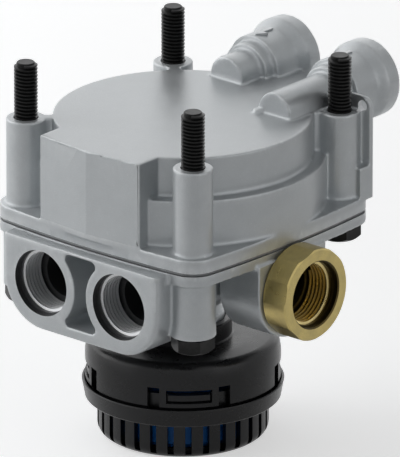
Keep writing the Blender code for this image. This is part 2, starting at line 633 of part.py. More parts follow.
def screw_places():
    """The four screw axes, as name and position."""
    for side_y, fore in ((-1, "front"), (1, "rear")):
        for side_x, side in ((-1, "left"), (1, "right")):
            yield f"{fore}_{side}", side_x * BOLT_OFFSET, side_y * BOLT_OFFSET


def wall_matrix(back_y):
    """Places an XY plate upright: its X stays, its Y becomes Z and it grows towards -Y."""
    return Matrix.Translation((0, back_y, 0)) @ Matrix.Rotation(math.pi / 2, 4, "X")


def threaded_port(name, mouth, inward, bore_end):
    """Cutters of a threaded port: entry counterbore, thread and the bore behind it."""
    mouth, inward = Vector(mouth), Vector(inward)
    outside = mouth - inward * CUT_PAST
    entry_end = mouth + inward * ENTRY_DEPTH
    thread_end = mouth + inward * THREAD_DEPTH
    return [
        cylinder(name + "_entry", ENTRY_RADIUS, outside, entry_end, PORT_FACETS),
        cylinder(name + "_thread", THREAD_RADIUS, outside, thread_end, PORT_FACETS),
        cylinder(name + "_bore", PORT_BORE_RADIUS, outside, bore_end, SLEEVE_FACETS),
    ]


def make_port_block():
    """The block that holds both delivery ports, with its front edge rounded."""
    left, right = PORT_X
    outline = [(PORT_BLOCK_HALF_WIDTH, BODY_TOP_Z), (-PORT_BLOCK_HALF_WIDTH, BODY_TOP_Z)]
    outline += arc((left, PORT_Z), PORT_BLOCK_RADIUS, math.pi, 1.5 * math.pi, 7)
    outline += arc((right, PORT_Z), PORT_BLOCK_RADIUS, 1.5 * math.pi, math.tau, 7)
    depth = PORT_BLOCK_BACK_Y - PORT_BLOCK_FACE_Y
    block = outline_plate("port_block", [outline], depth, place=wall_matrix(PORT_BLOCK_BACK_Y))
    bm = bmesh.new()
    bm.from_mesh(block.data)
    front = [
        edge
        for edge in bm.edges
        if all(vert.co.y < PORT_BLOCK_FACE_Y + SEAT_GAP for vert in edge.verts)
        and not all(vert.co.z > BODY_TOP_Z - SEAT_GAP for vert in edge.verts)
        and any(face.normal.y > -0.5 for face in edge.link_faces)
    ]
    bmesh.ops.bevel(
        bm, geom=front, offset=PORT_BLOCK_ROUNDING, segments=2, profile=0.5, affect="EDGES"
    )
    bm.to_mesh(block.data)
    bm.free()
    return block


def make_pocket():
    """Cutter of the waisted pocket between the two port rings."""
    reach = PORT_SPACING / 2 - POCKET_HALF_WIDTH
    rise = math.sqrt(POCKET_RING_RADIUS**2 - reach**2)
    swing = math.atan2(rise, reach)
    left, right = PORT_X
    corner = POCKET_CORNER
    top = PORT_Z + rise + POCKET_SHOULDER
    foot = PORT_Z - rise - POCKET_SHOULDER
    inner = POCKET_HALF_WIDTH - corner
    outline = arc((inner, top), corner, 0, math.pi / 2, 3)
    outline += arc((-inner, top), corner, math.pi / 2, math.pi, 3)
    outline += arc((left, PORT_Z), POCKET_RING_RADIUS, swing, -swing, 8)
    outline += arc((-inner, foot), corner, math.pi, 1.5 * math.pi, 3)
    outline += arc((inner, foot), corner, 1.5 * math.pi, math.tau, 3)
    outline += arc((right, PORT_Z), POCKET_RING_RADIUS, math.pi + swing, math.pi - swing, 8)
    place = wall_matrix(PORT_BLOCK_FACE_Y + POCKET_DEPTH)
    return outline_plate("pocket", [outline], POCKET_DEPTH + CUT_PAST, place=place)


def make_supply_pad():
    """Round-bottomed pad on the +X side that the brass adapter screws into."""
    outline = arc((0, PORT_Z), SUPPLY_PAD_RADIUS, math.pi, math.tau, 16)
    pad_top = BODY_FLANGE_FOOT_Z + 2 * SUNK
    outline += [(SUPPLY_PAD_RADIUS, pad_top), (-SUPPLY_PAD_RADIUS, pad_top)]
    depth = SUPPLY_PAD_FACE_X - SUPPLY_PAD_BACK_X
    turn = Matrix.Rotation(math.pi / 2, 4, "Z") @ Matrix.Rotation(math.pi / 2, 4, "X")
    place = Matrix.Translation((SUPPLY_PAD_BACK_X, 0, 0)) @ turn
    return outline_plate("supply_pad", [outline], depth, place=place)


def make_body():
    """Cast lower body with all its ports and the bore for the valve."""
    inside = BODY_FLANGE_FOOT_Z + 2 * SUNK
    core = turned(
        "body_core",
        [
            (0.0, inside),
            (DELIVERY_DRUM_RADIUS, inside),
            (DELIVERY_DRUM_RADIUS, DELIVERY_DRUM_FOOT_Z + DRUM_FOOT_CHAMFER),
            (DELIVERY_DRUM_RADIUS - DRUM_FOOT_CHAMFER, DELIVERY_DRUM_FOOT_Z),
            (CORE_RADIUS, DELIVERY_DRUM_FOOT_Z),
            (CORE_RADIUS, CORE_FOOT_Z),
            (SPIGOT_GROOVE_RADIUS, CORE_FOOT_Z),
            (SPIGOT_GROOVE_RADIUS, SPIGOT_COLLAR_Z),
            (SPIGOT_RADIUS, SPIGOT_COLLAR_Z),
            (SPIGOT_RADIUS, SPIGOT_FOOT_Z),
            (0.0, SPIGOT_FOOT_Z),
        ],
        CORE_FACETS,
    )
    thickness = BODY_TOP_Z - BODY_FLANGE_FOOT_Z
    place = Matrix.Translation((0, 0, BODY_FLANGE_FOOT_Z))
    body = outline_plate("body", [flange_outline()], thickness, group=PARTS, place=place)
    barrels = [
        cylinder(
            f"barrel_{i}",
            BARREL_RADIUS,
            (x, PORT_BLOCK_BACK_Y - 2 * SUNK, PORT_Z),
            (x, BARREL_BACK_Y, PORT_Z),
            PORT_FACETS,
        )
        for i, x in enumerate(PORT_X)
    ]
    link = cylinder(
        "supply_link",
        SUPPLY_LINK_RADIUS,
        (CORE_RADIUS / 2, 0, PORT_Z),
        (SUPPLY_PAD_BACK_X + 2 * SUNK, 0, PORT_Z),
        PORT_FACETS,
    )
    columns = []
    ribs = []
    for name, x, y in screw_places():
        if y < 0:
            start = (x, y, COLUMN_FOOT_Z)
            end = (x, y, BODY_FLANGE_FOOT_Z + SUNK)
            columns.append(cylinder("column_" + name, COLUMN_RADIUS, start, end, COLUMN_FACETS))
        else:
            ribs.append(make_rib(name, x, y))
    join(body, core, make_port_block(), *barrels, link, make_supply_pad(), *columns, *ribs)
    cut(body, *body_bores())
    return finish_part(body, (0.62, 0.64, 0.65), 0.38, 1.0)


def make_rib(name, x, y):
    """Casting rib under the flange, from the drum towards a rear screw."""
    heading = math.atan2(y, x)
    inner = DELIVERY_DRUM_RADIUS - 3 * SUNK
    outer = math.hypot(x, y) - BOLT_HEAD_ACROSS_FLATS / 2 - RIB_END_GAP
    rib_top = BODY_FLANGE_FOOT_Z + SUNK
    outline = [
        (inner, DELIVERY_DRUM_FOOT_Z + RIB_RISE),
        (outer, rib_top - RIB_END_HEIGHT),
        (outer, rib_top),
        (inner, rib_top),
    ]
    turn = Matrix.Rotation(heading, 4, "Z") @ Matrix.Rotation(math.pi / 2, 4, "X")
    place = turn @ Matrix.Translation((0, 0, -RIB_THICKNESS / 2))
    return outline_plate("rib_" + name, [outline], RIB_THICKNESS, place=place)


def body_bores():
    """Everything that is cut out of the body."""
    top = BODY_TOP_Z + CUT_PAST
    lip_radius = INLET_SEAT_RADIUS + INLET_SEAT_LIP_WIDTH
    lip_z = SUPPLY_CHAMBER_ROOF_Z - INLET_SEAT_LIP_HEIGHT
    clip_floor = CLIP_TOP_Z - CLIP_THICKNESS - SEAT_GAP
    clip_radius = VALVE_BORE_RADIUS + CLIP_GROOVE_DEPTH
    main_bore = turned(
        "main_bore",
        [
            (0.0, top),
            (DELIVERY_BOWL_RADIUS, top),
            (DELIVERY_BOWL_RADIUS, DELIVERY_BOWL_FLOOR_Z),
            (INLET_SEAT_RADIUS, DELIVERY_BOWL_FLOOR_Z),
            (INLET_SEAT_RADIUS, lip_z),
            (lip_radius, lip_z),
            (lip_radius, SUPPLY_CHAMBER_ROOF_Z),
            (SUPPLY_CHAMBER_RADIUS, SUPPLY_CHAMBER_ROOF_Z),
            (SUPPLY_CHAMBER_RADIUS, SUPPLY_CHAMBER_FLOOR_Z),
            (VALVE_BORE_RADIUS, SUPPLY_CHAMBER_FLOOR_Z - SUPPLY_CHAMBER_CHAMFER),
            (VALVE_BORE_RADIUS, CLIP_TOP_Z + SEAT_GAP),
            (clip_radius, CLIP_TOP_Z + SEAT_GAP),
            (clip_radius, clip_floor),
            (VALVE_BORE_RADIUS, clip_floor),
            (VALVE_BORE_RADIUS, SPIGOT_FOOT_Z - CUT_PAST),
            (0.0, SPIGOT_FOOT_Z - CUT_PAST),
        ],
        COLUMN_FACETS,
        place=BORE_TURN,
    )
    tools = [main_bore, make_pocket()]
    for i, x in enumerate(PORT_X):
        mouth = (x, PORT_BLOCK_FACE_Y, PORT_Z)
        end = (x, PORT_BORE_END_Y, PORT_Z)
        tools += threaded_port(f"delivery_{i}", mouth, (0, 1, 0), end)
        start = (x, DELIVERY_RISER_Y, PORT_Z)
        end = (x, DELIVERY_RISER_Y, DELIVERY_BOWL_FLOOR_Z + CUT_PAST)
        tools.append(cylinder(f"riser_{i}", DELIVERY_RISER_RADIUS, start, end, SLEEVE_FACETS))
    radius = ADAPTER_SHANK_RADIUS + SEAT_GAP
    start = (SUPPLY_SOCKET_END_X, 0, PORT_Z)
    end = (SUPPLY_PAD_FACE_X + CUT_PAST, 0, PORT_Z)
    tools.append(cylinder("supply_socket", radius, start, end, SOCKET_FACETS))
    radius = SUPPLY_PASSAGE_RADIUS
    start = (VALVE_TUBE_RADIUS, 0, SUPPLY_PASSAGE_Z)
    end = (SUPPLY_SOCKET_END_X + SUNK, 0, SUPPLY_PASSAGE_Z)
    tools.append(cylinder("supply_passage", radius, start, end, COLUMN_FACETS))
    for name, x, y in screw_places():
        foot = BODY_FLANGE_FOOT_Z if y > 0 else COLUMN_FOOT_Z
        end = (x, y, foot)
        if y < 0:
            radius = SPOT_FACE_RADIUS
            start = (x, y, SPIGOT_FOOT_Z)
            tools.append(cylinder("spot_face_" + name, radius, start, end, SLEEVE_FACETS))
        start = (x, y, foot - CUT_PAST)
        end = (x, y, top)
        tools.append(cylinder("body_hole_" + name, BOLT_HOLE_RADIUS, start, end, HOLE_FACETS))
    return tools


def make_gasket():
    """Thin gasket between body and cover, open over the bowl and the screws."""
    outlines = [flange_outline(GASKET_INSET)]
    outlines += [circle((x, y), BOLT_HOLE_RADIUS, HOLE_FACETS) for _, x, y in screw_places()]
    outlines.append(circle((0, 0), LOWER_BORE_RADIUS - GASKET_MARGIN, BORE_FACETS))
    place = Matrix.Translation((0, 0, GASKET_FOOT_Z))
    gasket = outline_plate("flange_gasket", outlines, GASKET_THICKNESS, PARTS, place)
    return finish_part(gasket, (0.42, 0.43, 0.44), 0.7, 0.0)


def make_prow():
    """Front block of the cover, with a shallow ridge down its middle."""
    outline = [
        (PROW_HALF_WIDTH, -UPPER_DRUM_RADIUS / 2),
        (-PROW_HALF_WIDTH, -UPPER_DRUM_RADIUS / 2),
        (-PROW_HALF_WIDTH, PROW_CORNER_Y),
        (0.0, PROW_RIDGE_Y),
        (PROW_HALF_WIDTH, PROW_CORNER_Y),
    ]
    foot = COVER_FLANGE_TOP_Z - 3 * SUNK
    place = Matrix.Translation((0, 0, foot))
    return outline_plate("prow", [outline], COVER_TOP_Z - foot, place=place)


def make_ear_plate():
    """Upright plate behind the drum with a raised ear at each end."""
    radius = EAR_CORNER_RADIUS
    tube_left, tube_right = TUBE_X
    base = COVER_TOP_Z - EAR_GAP_DEPTH
    foot = COVER_FLANGE_TOP_Z - 3.5 * SUNK
    outline = [(EAR_PLATE_LEFT_X, foot), (EAR_PLATE_RIGHT_X, foot)]
    top = EAR_PLATE_TOP_Z - radius
    outline += arc((EAR_PLATE_RIGHT_X - radius, top), radius, 0, math.pi / 2, 5)
    gap_right = tube_right + EAR_GAP_MARGIN
    gap_left = tube_left - EAR_GAP_MARGIN
    outline += [(gap_right, EAR_PLATE_TOP_Z), (gap_right, base)]
    outline += [(gap_left, base), (gap_left, EAR_PLATE_TOP_Z)]
    outline += arc((EAR_PLATE_LEFT_X + radius, top), radius, math.pi / 2, math.pi, 5)
    hole = circle((EAR_HOLE_X, EAR_HOLE_Z), EAR_HOLE_RADIUS, SLEEVE_FACETS)
    place = wall_matrix(EAR_PLATE_BACK_Y)
    return outline_plate("ear_plate", [outline, hole], EAR_PLATE_THICKNESS, place=place)


def make_tube(index):
    """Stepped and flared control tube, turned about its own axis."""
    front = TUBE_FRONT_Y[index]
    rounding = TUBE_STEP_CHAMFER
    profile = [
        (0.0, TUBE_MOUTH_Y),
        (TUBE_RIM_RADIUS - TUBE_MOUTH_CHAMFER, TUBE_MOUTH_Y),
        (TUBE_RIM_RADIUS, TUBE_MOUTH_Y - TUBE_MOUTH_CHAMFER),
        (TUBE_RIM_RADIUS, TUBE_RIM_Y),
        (TUBE_BARREL_RADIUS, TUBE_FLARE_Y),
        (TUBE_BARREL_RADIUS, TUBE_BARREL_Y + rounding),
        (TUBE_BARREL_RADIUS - rounding, TUBE_BARREL_Y),
        (TUBE_STEP_RADIUS, TUBE_BARREL_Y),
        (TUBE_STEP_RADIUS, TUBE_STEP_Y + rounding),
        (TUBE_STEP_RADIUS - rounding, TUBE_STEP_Y),
        (TUBE_FRONT_RADIUS, TUBE_STEP_Y),
        (TUBE_FRONT_RADIUS, front),
        (0.0, front),
    ]
    return turned(f"tube_{index}", profile, TUBE_FACETS, place=tube_matrix(index))


def tube_matrix(index):
    """Lays a turned shape on a control tube's axis, its height along +Y."""
    return Matrix.Translation((TUBE_X[index], 0, TUBE_AXIS_Z)) @ along((0, 1, 0))


def tube_bore(index):
    """Threaded mouth of a control tube and the passage behind it."""
    end = CONTROL_DRILL_Y[index] - CONTROL_DRILL_RADIUS - TUBE_BORE_END
    outside = TUBE_MOUTH_Y + CUT_PAST
    profile = [
        (0.0, outside),
        (TUBE_ENTRY_RADIUS, outside),
        (TUBE_ENTRY_RADIUS, TUBE_MOUTH_Y - TUBE_ENTRY_DEPTH),
        (TUBE_THREAD_RADIUS, TUBE_MOUTH_Y - TUBE_ENTRY_DEPTH),
        (TUBE_THREAD_RADIUS, TUBE_MOUTH_Y - TUBE_THREAD_DEPTH),
        (TUBE_BORE_RADIUS, TUBE_MOUTH_Y - TUBE_THREAD_DEPTH - TUBE_BORE_CONE),
        (TUBE_BORE_RADIUS, end),
        (0.0, end),
    ]
    place = tube_matrix(index) @ BORE_TURN
    return turned(f"tube_bore_{index}", profile, SLEEVE_FACETS, place=place)


def make_cover():
    """Cast cover: drum, screw sleeves, prow, ear plate and control tubes."""
    drum = turned(
        "cover",
        [
            (0.0, COVER_TOP_Z),
            (UPPER_DRUM_RADIUS - DRUM_CHAMFER, COVER_TOP_Z),
            (UPPER_DRUM_RADIUS, COVER_TOP_Z - DRUM_CHAMFER),
            (UPPER_DRUM_RADIUS, LEDGE_Z),
            (LOWER_DRUM_RADIUS - DRUM_CHAMFER, LEDGE_Z),
            (LOWER_DRUM_RADIUS, LEDGE_Z - DRUM_CHAMFER),
            (LOWER_DRUM_RADIUS, COVER_FLANGE_TOP_Z - SUNK),
            (0.0, COVER_FLANGE_TOP_Z - SUNK),
        ],
        DRUM_FACETS,
        group=PARTS,
    )
    place = Matrix.Translation((0, 0, COVER_FOOT_Z))
    flange = outline_plate("cover_flange", [flange_outline()], COVER_FLANGE_THICKNESS, place=place)
    corner_block = box(
        "corner_block",
        (
            EAR_PLATE_RIGHT_X - CORNER_BLOCK_WIDTH,
            EAR_PLATE_BACK_Y - CORNER_BLOCK_DEPTH,
            COVER_FLANGE_TOP_Z - 4 * SUNK,
        ),
        (EAR_PLATE_RIGHT_X, EAR_PLATE_BACK_Y - EAR_PLATE_SETBACK, CORNER_BLOCK_TOP_Z),
    )
    tube_web = box(
        "tube_web",
        (TUBE_X[0], UPPER_DRUM_RADIUS / 2, COVER_TOP_Z - TUBE_WEB_HEIGHT),
        (TUBE_X[1], TUBE_WEB_BACK_Y, COVER_TOP_Z),
    )
    tubes = [make_tube(0), make_tube(1)]
    join(drum, flange, make_prow(), make_ear_plate(), corner_block, tube_web, *tubes)
    for name, x, y in screw_places():
        start = (x, y, COVER_FLANGE_TOP_Z - 3 * SUNK)
        end = (x, y, COVER_TOP_Z)
        sleeve = cylinder("sleeve_" + name, SLEEVE_RADIUS, start, end, SLEEVE_FACETS)
        join(drum, sleeve, make_web(name, x, y))
    cut(drum, *cover_bores())
    return finish_part(drum, (0.66, 0.68, 0.69), 0.35, 1.0)


def make_web(name, x, y):
    """Upright web between a screw sleeve and the upper drum."""
    heading = math.atan2(y, x)
    start = UPPER_DRUM_RADIUS - 3 * SUNK
    end = math.hypot(x, y)
    half = WEB_THICKNESS / 2
    outline = [(start, -half), (end, -half), (end, half), (start, half)]
    foot = LEDGE_Z - SUNK
    place = Matrix.Translation((0, 0, foot)) @ Matrix.Rotation(heading, 4, "Z")
    return outline_plate("web_" + name, [outline], COVER_TOP_Z - foot, place=place)


def cover_bores():
    """The stepped piston bore, the control passages and the screw holes."""
    foot = COVER_FOOT_Z - CUT_PAST
    stop_z = CONTROL_PISTON_TOP_Z + SEAT_GAP
    piston_bore = turned(
        "piston_bore",
        [
            (0.0, stop_z),
            (STOP_RADIUS, stop_z),
            (STOP_RADIUS, UPPER_BORE_ROOF_Z),
            (UPPER_BORE_RADIUS, UPPER_BORE_ROOF_Z),
            (UPPER_BORE_RADIUS, LOWER_BORE_ROOF_Z),
            (LOWER_BORE_RADIUS, LOWER_BORE_ROOF_Z),
            (LOWER_BORE_RADIUS, foot),
            (0.0, foot),
        ],
        BORE_FACETS,
        place=BORE_TURN,
    )
    tools = [piston_bore, tube_bore(0), tube_bore(1)]
    for i, roof in enumerate((UPPER_BORE_ROOF_Z, LOWER_BORE_ROOF_Z)):
        start = (TUBE_X[i], CONTROL_DRILL_Y[i], TUBE_AXIS_Z)
        end = (TUBE_X[i], CONTROL_DRILL_Y[i], roof - CONTROL_DRILL_BREAK)
        tools.append(cylinder(f"control_drill_{i}", CONTROL_DRILL_RADIUS, start, end, HOLE_FACETS))
    for name, x, y in screw_places():
        start = (x, y, foot)
        end = (x, y, COVER_TOP_Z + CUT_PAST)
        tools.append(cylinder("cover_hole_" + name, BOLT_HOLE_RADIUS, start, end, HOLE_FACETS))
    return tools


def make_bolts():
    """Four hexagon screws, the rear pair shorter because they seat under the flange."""
    bolts = []
    for name, x, y in screw_places():
        seat = (COLUMN_FOOT_Z if y < 0 else BODY_FLANGE_FOOT_Z) - SEAT_GAP
        bolt = cylinder(
            "bolt_" + name,
            BOLT_HEAD_CORNER_RADIUS,
            (x, y, seat - BOLT_HEAD_HEIGHT),
            (x, y, seat),
            6,
            PARTS,
        )
        shank_top = BOLT_TOP_Z - BOLT_TIP_CHAMFER
        shank = turned(
            "shank_" + name,
            [
                (0.0, BOLT_TOP_Z),
                (BOLT_RADIUS - BOLT_TIP_CHAMFER, BOLT_TOP_Z),
                (BOLT_RADIUS, shank_top),
                (BOLT_RADIUS, seat - BOLT_HEAD_HEIGHT / 2),
                (0.0, seat - BOLT_HEAD_HEIGHT / 2),
            ],
            SLEEVE_FACETS,
            place=Matrix.Translation((x, y, 0)),
        )
        join(bolt, shank)
        bolts.append(finish_part(bolt, (0.03, 0.03, 0.03), 0.45, 0.6))
    return bolts


def make_adapter():
    """Brass supply adapter: a turned-down hexagon on a hollow threaded shank."""
    face, end = ADAPTER_FACE_X, ADAPTER_END_X
    outer = ADAPTER_ACROSS_FLATS / math.sqrt(3)
    hexagon = cylinder(
        "supply_adapter",
        outer,
        (face, 0, PORT_Z),
        (end, 0, PORT_Z),
        6,
        PARTS,
    )
    spin = Matrix.Rotation(ADAPTER_TURN, 4, "X")
    centre = Matrix.Translation((0, 0, PORT_Z))
    hexagon.data.transform(centre @ spin @ centre.inverted())
    lay = centre @ along((1, 0, 0))
    rounding = turned(
        "adapter_rounding",
        [
            (outer + CUT_PAST, end + CUT_PAST),
            (outer + CUT_PAST, face - CUT_PAST),
            (ADAPTER_CORNER_RADIUS, face - CUT_PAST),
            (ADAPTER_CORNER_RADIUS, end - ADAPTER_CHAMFER),
            (ADAPTER_CORNER_RADIUS - ADAPTER_CHAMFER - CUT_PAST, end + CUT_PAST),
        ],
        DRUM_FACETS,
        place=lay,
    )
    shank = cylinder(
        "adapter_shank",
        ADAPTER_SHANK_RADIUS,
        (face - ADAPTER_SHANK_LENGTH, 0, PORT_Z),
        (face + 2 * SUNK, 0, PORT_Z),
        SOCKET_FACETS,
    )
    cut(hexagon, rounding)
    join(hexagon, shank)
    through = (face - ADAPTER_SHANK_LENGTH - CUT_PAST, 0, PORT_Z)
    cut(hexagon, *threaded_port("adapter", (end, 0, PORT_Z), (-1, 0, 0), through))
    return finish_part(hexagon, (0.53, 0.43, 0.18), 0.28, 1.0)


def make_ring(name, radius, wire, height, segments, place=None):
    """An O-ring: a round section turned about the axis, faceted like the groove it lies in."""
    section = circle((radius, height), wire, 6)
    section.reverse()
    ring = turned(name, section, segments, group=PARTS, place=place)
    return finish_part(ring, (0.02, 0.02, 0.02), 0.6, 0.0)


def make_adapter_seal():
    """Sealing ring at the foot of the adapter's shank."""
    middle = ADAPTER_FACE_X - ADAPTER_SHANK_LENGTH - SEAT_GAP - ADAPTER_SEAL_WIRE
    place = Matrix.Translation((0, 0, PORT_Z)) @ along((1, 0, 0))
    radius = ADAPTER_SHANK_RADIUS - ADAPTER_SEAL_WIRE - SEAT_GAP
    return make_ring("adapter_seal", radius, ADAPTER_SEAL_WIRE, middle, GUIDE_FACETS, place)


def piston_profile(radius, top, foot, groove_z):
    """Outer side of a piston, down from its dished top to the edge of its foot."""
    groove = radius - RING_GROOVE_DEPTH
    half = RING_GROOVE_HEIGHT / 2
    chamfer = PISTON_CHAMFER
    return [
        (radius - PISTON_RIM_WIDTH - PISTON_DISH, top - PISTON_DISH),
        (radius - PISTON_RIM_WIDTH, top),
        (radius - chamfer, top),
        (radius, top - chamfer),
        (radius, groove_z + half),
        (groove, groove_z + half),
        (groove, groove_z - half),
        (radius, groove_z - half),
        (radius, foot + chamfer),
        (radius - chamfer, foot),
        (radius - PISTON_RIM_WIDTH, foot),
    ]


def make_relay_piston():
    """Lower piston with the hub above it and the exhaust seat at the end of its stem."""
    radius = LOWER_BORE_RADIUS - PISTON_CLEARANCE
    groove_z = (RELAY_TOP_Z + RELAY_FOOT_Z) / 2
    hub_top = RELAY_TOP_Z + RELAY_HUB_HEIGHT
    under = RELAY_FOOT_Z + RELAY_UNDERSIDE
    cup_top = RELAY_STEM_FOOT_Z + EXHAUST_CUP_DEPTH
    profile = [
        (0.0, hub_top),
        (RELAY_HUB_RADIUS - PISTON_CHAMFER, hub_top),
        (RELAY_HUB_RADIUS, hub_top - PISTON_CHAMFER),
        (RELAY_HUB_RADIUS, RELAY_TOP_Z - PISTON_DISH),
    ]
    profile += piston_profile(radius, RELAY_TOP_Z, RELAY_FOOT_Z, groove_z)
    profile += [
        (radius - PISTON_RIM_WIDTH - PISTON_DISH, under),
        (RELAY_STEM_RADIUS + RELAY_STEM_FILLET, under),
        (RELAY_STEM_RADIUS, under - RELAY_STEM_FILLET),
        (RELAY_STEM_RADIUS, RELAY_STEM_FOOT_Z),
        (EXHAUST_SEAT_RADIUS, RELAY_STEM_FOOT_Z),
        (EXHAUST_SEAT_RADIUS - EXHAUST_CUP_TAPER, cup_top),
        (0.0, cup_top),
    ]
    piston = turned("relay_piston", profile, PISTON_FACETS, group=PARTS)
    finish_part(piston, (0.55, 0.56, 0.57), 0.4, 1.0)
    ring_radius = radius - RING_WIRE
    return piston, make_ring("relay_piston_ring", ring_radius, RING_WIRE, groove_z, PISTON_FACETS)


def make_control_piston():
    """Upper piston, which rests on the relay piston's hub."""
    radius = UPPER_BORE_RADIUS - PISTON_CLEARANCE
    top = CONTROL_PISTON_TOP_Z
    groove_z = top - RING_GROOVE_DROP
    pad = STOP_RADIUS + STOP_PAD_BORDER
    profile = [(0.0, top), (pad, top), (pad + PISTON_DISH, top - PISTON_DISH)]
    profile += piston_profile(radius, top, CONTROL_PISTON_FOOT_Z, groove_z)
    profile += [(0.0, CONTROL_PISTON_FOOT_Z)]
    piston = turned("control_piston", profile, PISTON_FACETS, group=PARTS)
    finish_part(piston, (0.55, 0.56, 0.57), 0.4, 1.0)
    ring_radius = radius - RING_WIRE
    return piston, make_ring("control_piston_ring", ring_radius, RING_WIRE, groove_z, PISTON_FACETS)


def make_valve():
    """Double seat valve: a hollow stem with a head, and the rubber ring on top of it."""
    collar = SEAL_BORE_RADIUS - SEAT_GAP
    collar_top = SEAL_TOP_Z - VALVE_COLLAR_DROP
    profile = [
        (collar, collar_top),
        (collar, VALVE_HEAD_TOP_Z),
        (VALVE_HEAD_RADIUS, VALVE_HEAD_TOP_Z),
        (VALVE_HEAD_RADIUS, VALVE_HEAD_FOOT_Z),
        (VALVE_TUBE_RADIUS, VALVE_HEAD_FOOT_Z),
        (VALVE_TUBE_RADIUS, VALVE_FOOT_Z),
        (VALVE_STEM_BORE, VALVE_FOOT_Z),
        (VALVE_STEM_BORE, collar_top),
    ]
    valve = turned("inlet_valve", profile, GUIDE_FACETS, group=PARTS)
    finish_part(valve, (0.12, 0.12, 0.13), 0.5, 0.0)
    seal_foot = VALVE_HEAD_TOP_Z + SEAT_GAP
    seal = turned(
        "valve_seal",
        [
            (SEAL_RADIUS, SEAL_TOP_Z),
            (SEAL_RADIUS, seal_foot),
            (SEAL_BORE_RADIUS, seal_foot),
            (SEAL_BORE_RADIUS, SEAL_TOP_Z),
        ],
        GUIDE_FACETS,
        group=PARTS,
    )
    finish_part(seal, (0.02, 0.02, 0.02), 0.7, 0.0)
    return valve, seal


def make_spring():
    """Compression spring between the guide and the valve head, with closed end turns."""
    foot = GUIDE_TOP_Z + SEAT_GAP + SPRING_WIRE
    top = VALVE_HEAD_FOOT_Z - SEAT_GAP - SPRING_WIRE
    per_turn = 10
    count = SPRING_TURNS * per_turn
    curve = bpy.data.curves.new("valve_spring", "CURVE")
    curve.dimensions = "3D"
    curve.bevel_depth = SPRING_WIRE
    curve.bevel_resolution = 1
    curve.use_fill_caps = True
    spline = curve.splines.new("POLY")
    spline.points.add(count)
    for i, point in enumerate(spline.points):
        angle = math.tau * i / per_turn
        share = i / count
        eased = share - math.sin(math.tau * share) / math.tau * 0.35
        height = foot + (top - foot) * eased
        point.co = (SPRING_RADIUS * math.cos(angle), SPRING_RADIUS * math.sin(angle), height, 1.0)
    shape = link_shape("valve_spring", curve, CUTTERS)
    spring = baked(shape, "valve_spring", PARTS)
    return finish_part(spring, (0.5, 0.5, 0.5), 0.3, 1.0)


def make_guide():
    """Guide of the valve stem, with a groove for each of its two O-rings, and its clip."""
    outer = VALVE_BORE_RADIUS - GUIDE_CLEARANCE
    inner = VALVE_TUBE_RADIUS + GUIDE_CLEARANCE
    ring_radius = VALVE_BORE_RADIUS - SEAT_GAP - GUIDE_RING_WIRE
    stem_ring_radius = inner + STEM_RING_WIRE
    outer_groove = ring_radius - GUIDE_RING_WIRE - SEAT_GAP
    outer_half = GUIDE_RING_WIRE + SEAT_GAP
    inner_groove = stem_ring_radius + STEM_RING_WIRE + SEAT_GAP
    inner_half = STEM_RING_WIRE + SEAT_GAP
    profile = [
        (outer, GUIDE_TOP_Z),
        (outer, GUIDE_RING_Z + outer_half),
        (outer_groove, GUIDE_RING_Z + outer_half),
        (outer_groove, GUIDE_RING_Z - outer_half),
        (outer, GUIDE_RING_Z - outer_half),
        (outer, GUIDE_FOOT_Z),
        (inner, GUIDE_FOOT_Z),
        (inner, STEM_RING_Z - inner_half),
        (inner_groove, STEM_RING_Z - inner_half),
        (inner_groove, STEM_RING_Z + inner_half),
        (inner, STEM_RING_Z + inner_half),
        (inner, GUIDE_TOP_Z),
    ]
    guide = turned("valve_guide", profile, GUIDE_FACETS, group=PARTS)
    finish_part(guide, (0.10, 0.10, 0.11), 0.5, 0.0)
    make_ring("guide_ring", ring_radius, GUIDE_RING_WIRE, GUIDE_RING_Z, GUIDE_FACETS)
    make_ring("stem_ring", stem_ring_radius, STEM_RING_WIRE, STEM_RING_Z, GUIDE_FACETS)
    return guide


def make_clip():
    """Spring clip below the guide, open on one side and with an eye at each end."""
    half = CLIP_MOUTH_ANGLE / 2
    middle = (CLIP_OUTER_RADIUS + CLIP_INNER_RADIUS) / 2
    lug = CLIP_LUG_RADIUS
    inward = middle - CLIP_LUG_INSET
    outline = arc((0, 0), CLIP_OUTER_RADIUS, half, math.tau - half, 24)
    eye = (inward * math.cos(-half), inward * math.sin(-half))
    outline += arc(eye, lug, -half + 0.35 * math.pi, -half + 1.05 * math.pi, 5)
    outline += arc((0, 0), CLIP_INNER_RADIUS, math.tau - half - 0.28, half + 0.28, 20)
    eye = (inward * math.cos(half), inward * math.sin(half))
    outline += arc(eye, lug, half - 1.05 * math.pi, half - 0.35 * math.pi, 5)
    place = Matrix.Translation((0, 0, CLIP_TOP_Z - CLIP_THICKNESS))
    clip = outline_plate("guide_clip", [outline], CLIP_THICKNESS, PARTS, place)
    return finish_part(clip, (0.45, 0.45, 0.45), 0.3, 1.0)


def sector(name, inner, outer, start, end, foot, top, steps=3):
    """A block bounded by two radii, two angles and two heights."""
    outline = arc((0, 0), outer, start, end, steps) + arc((0, 0), inner, end, start, steps)
    return outline_plate(name, [outline], top - foot, place=Matrix.Translation((0, 0, foot)))


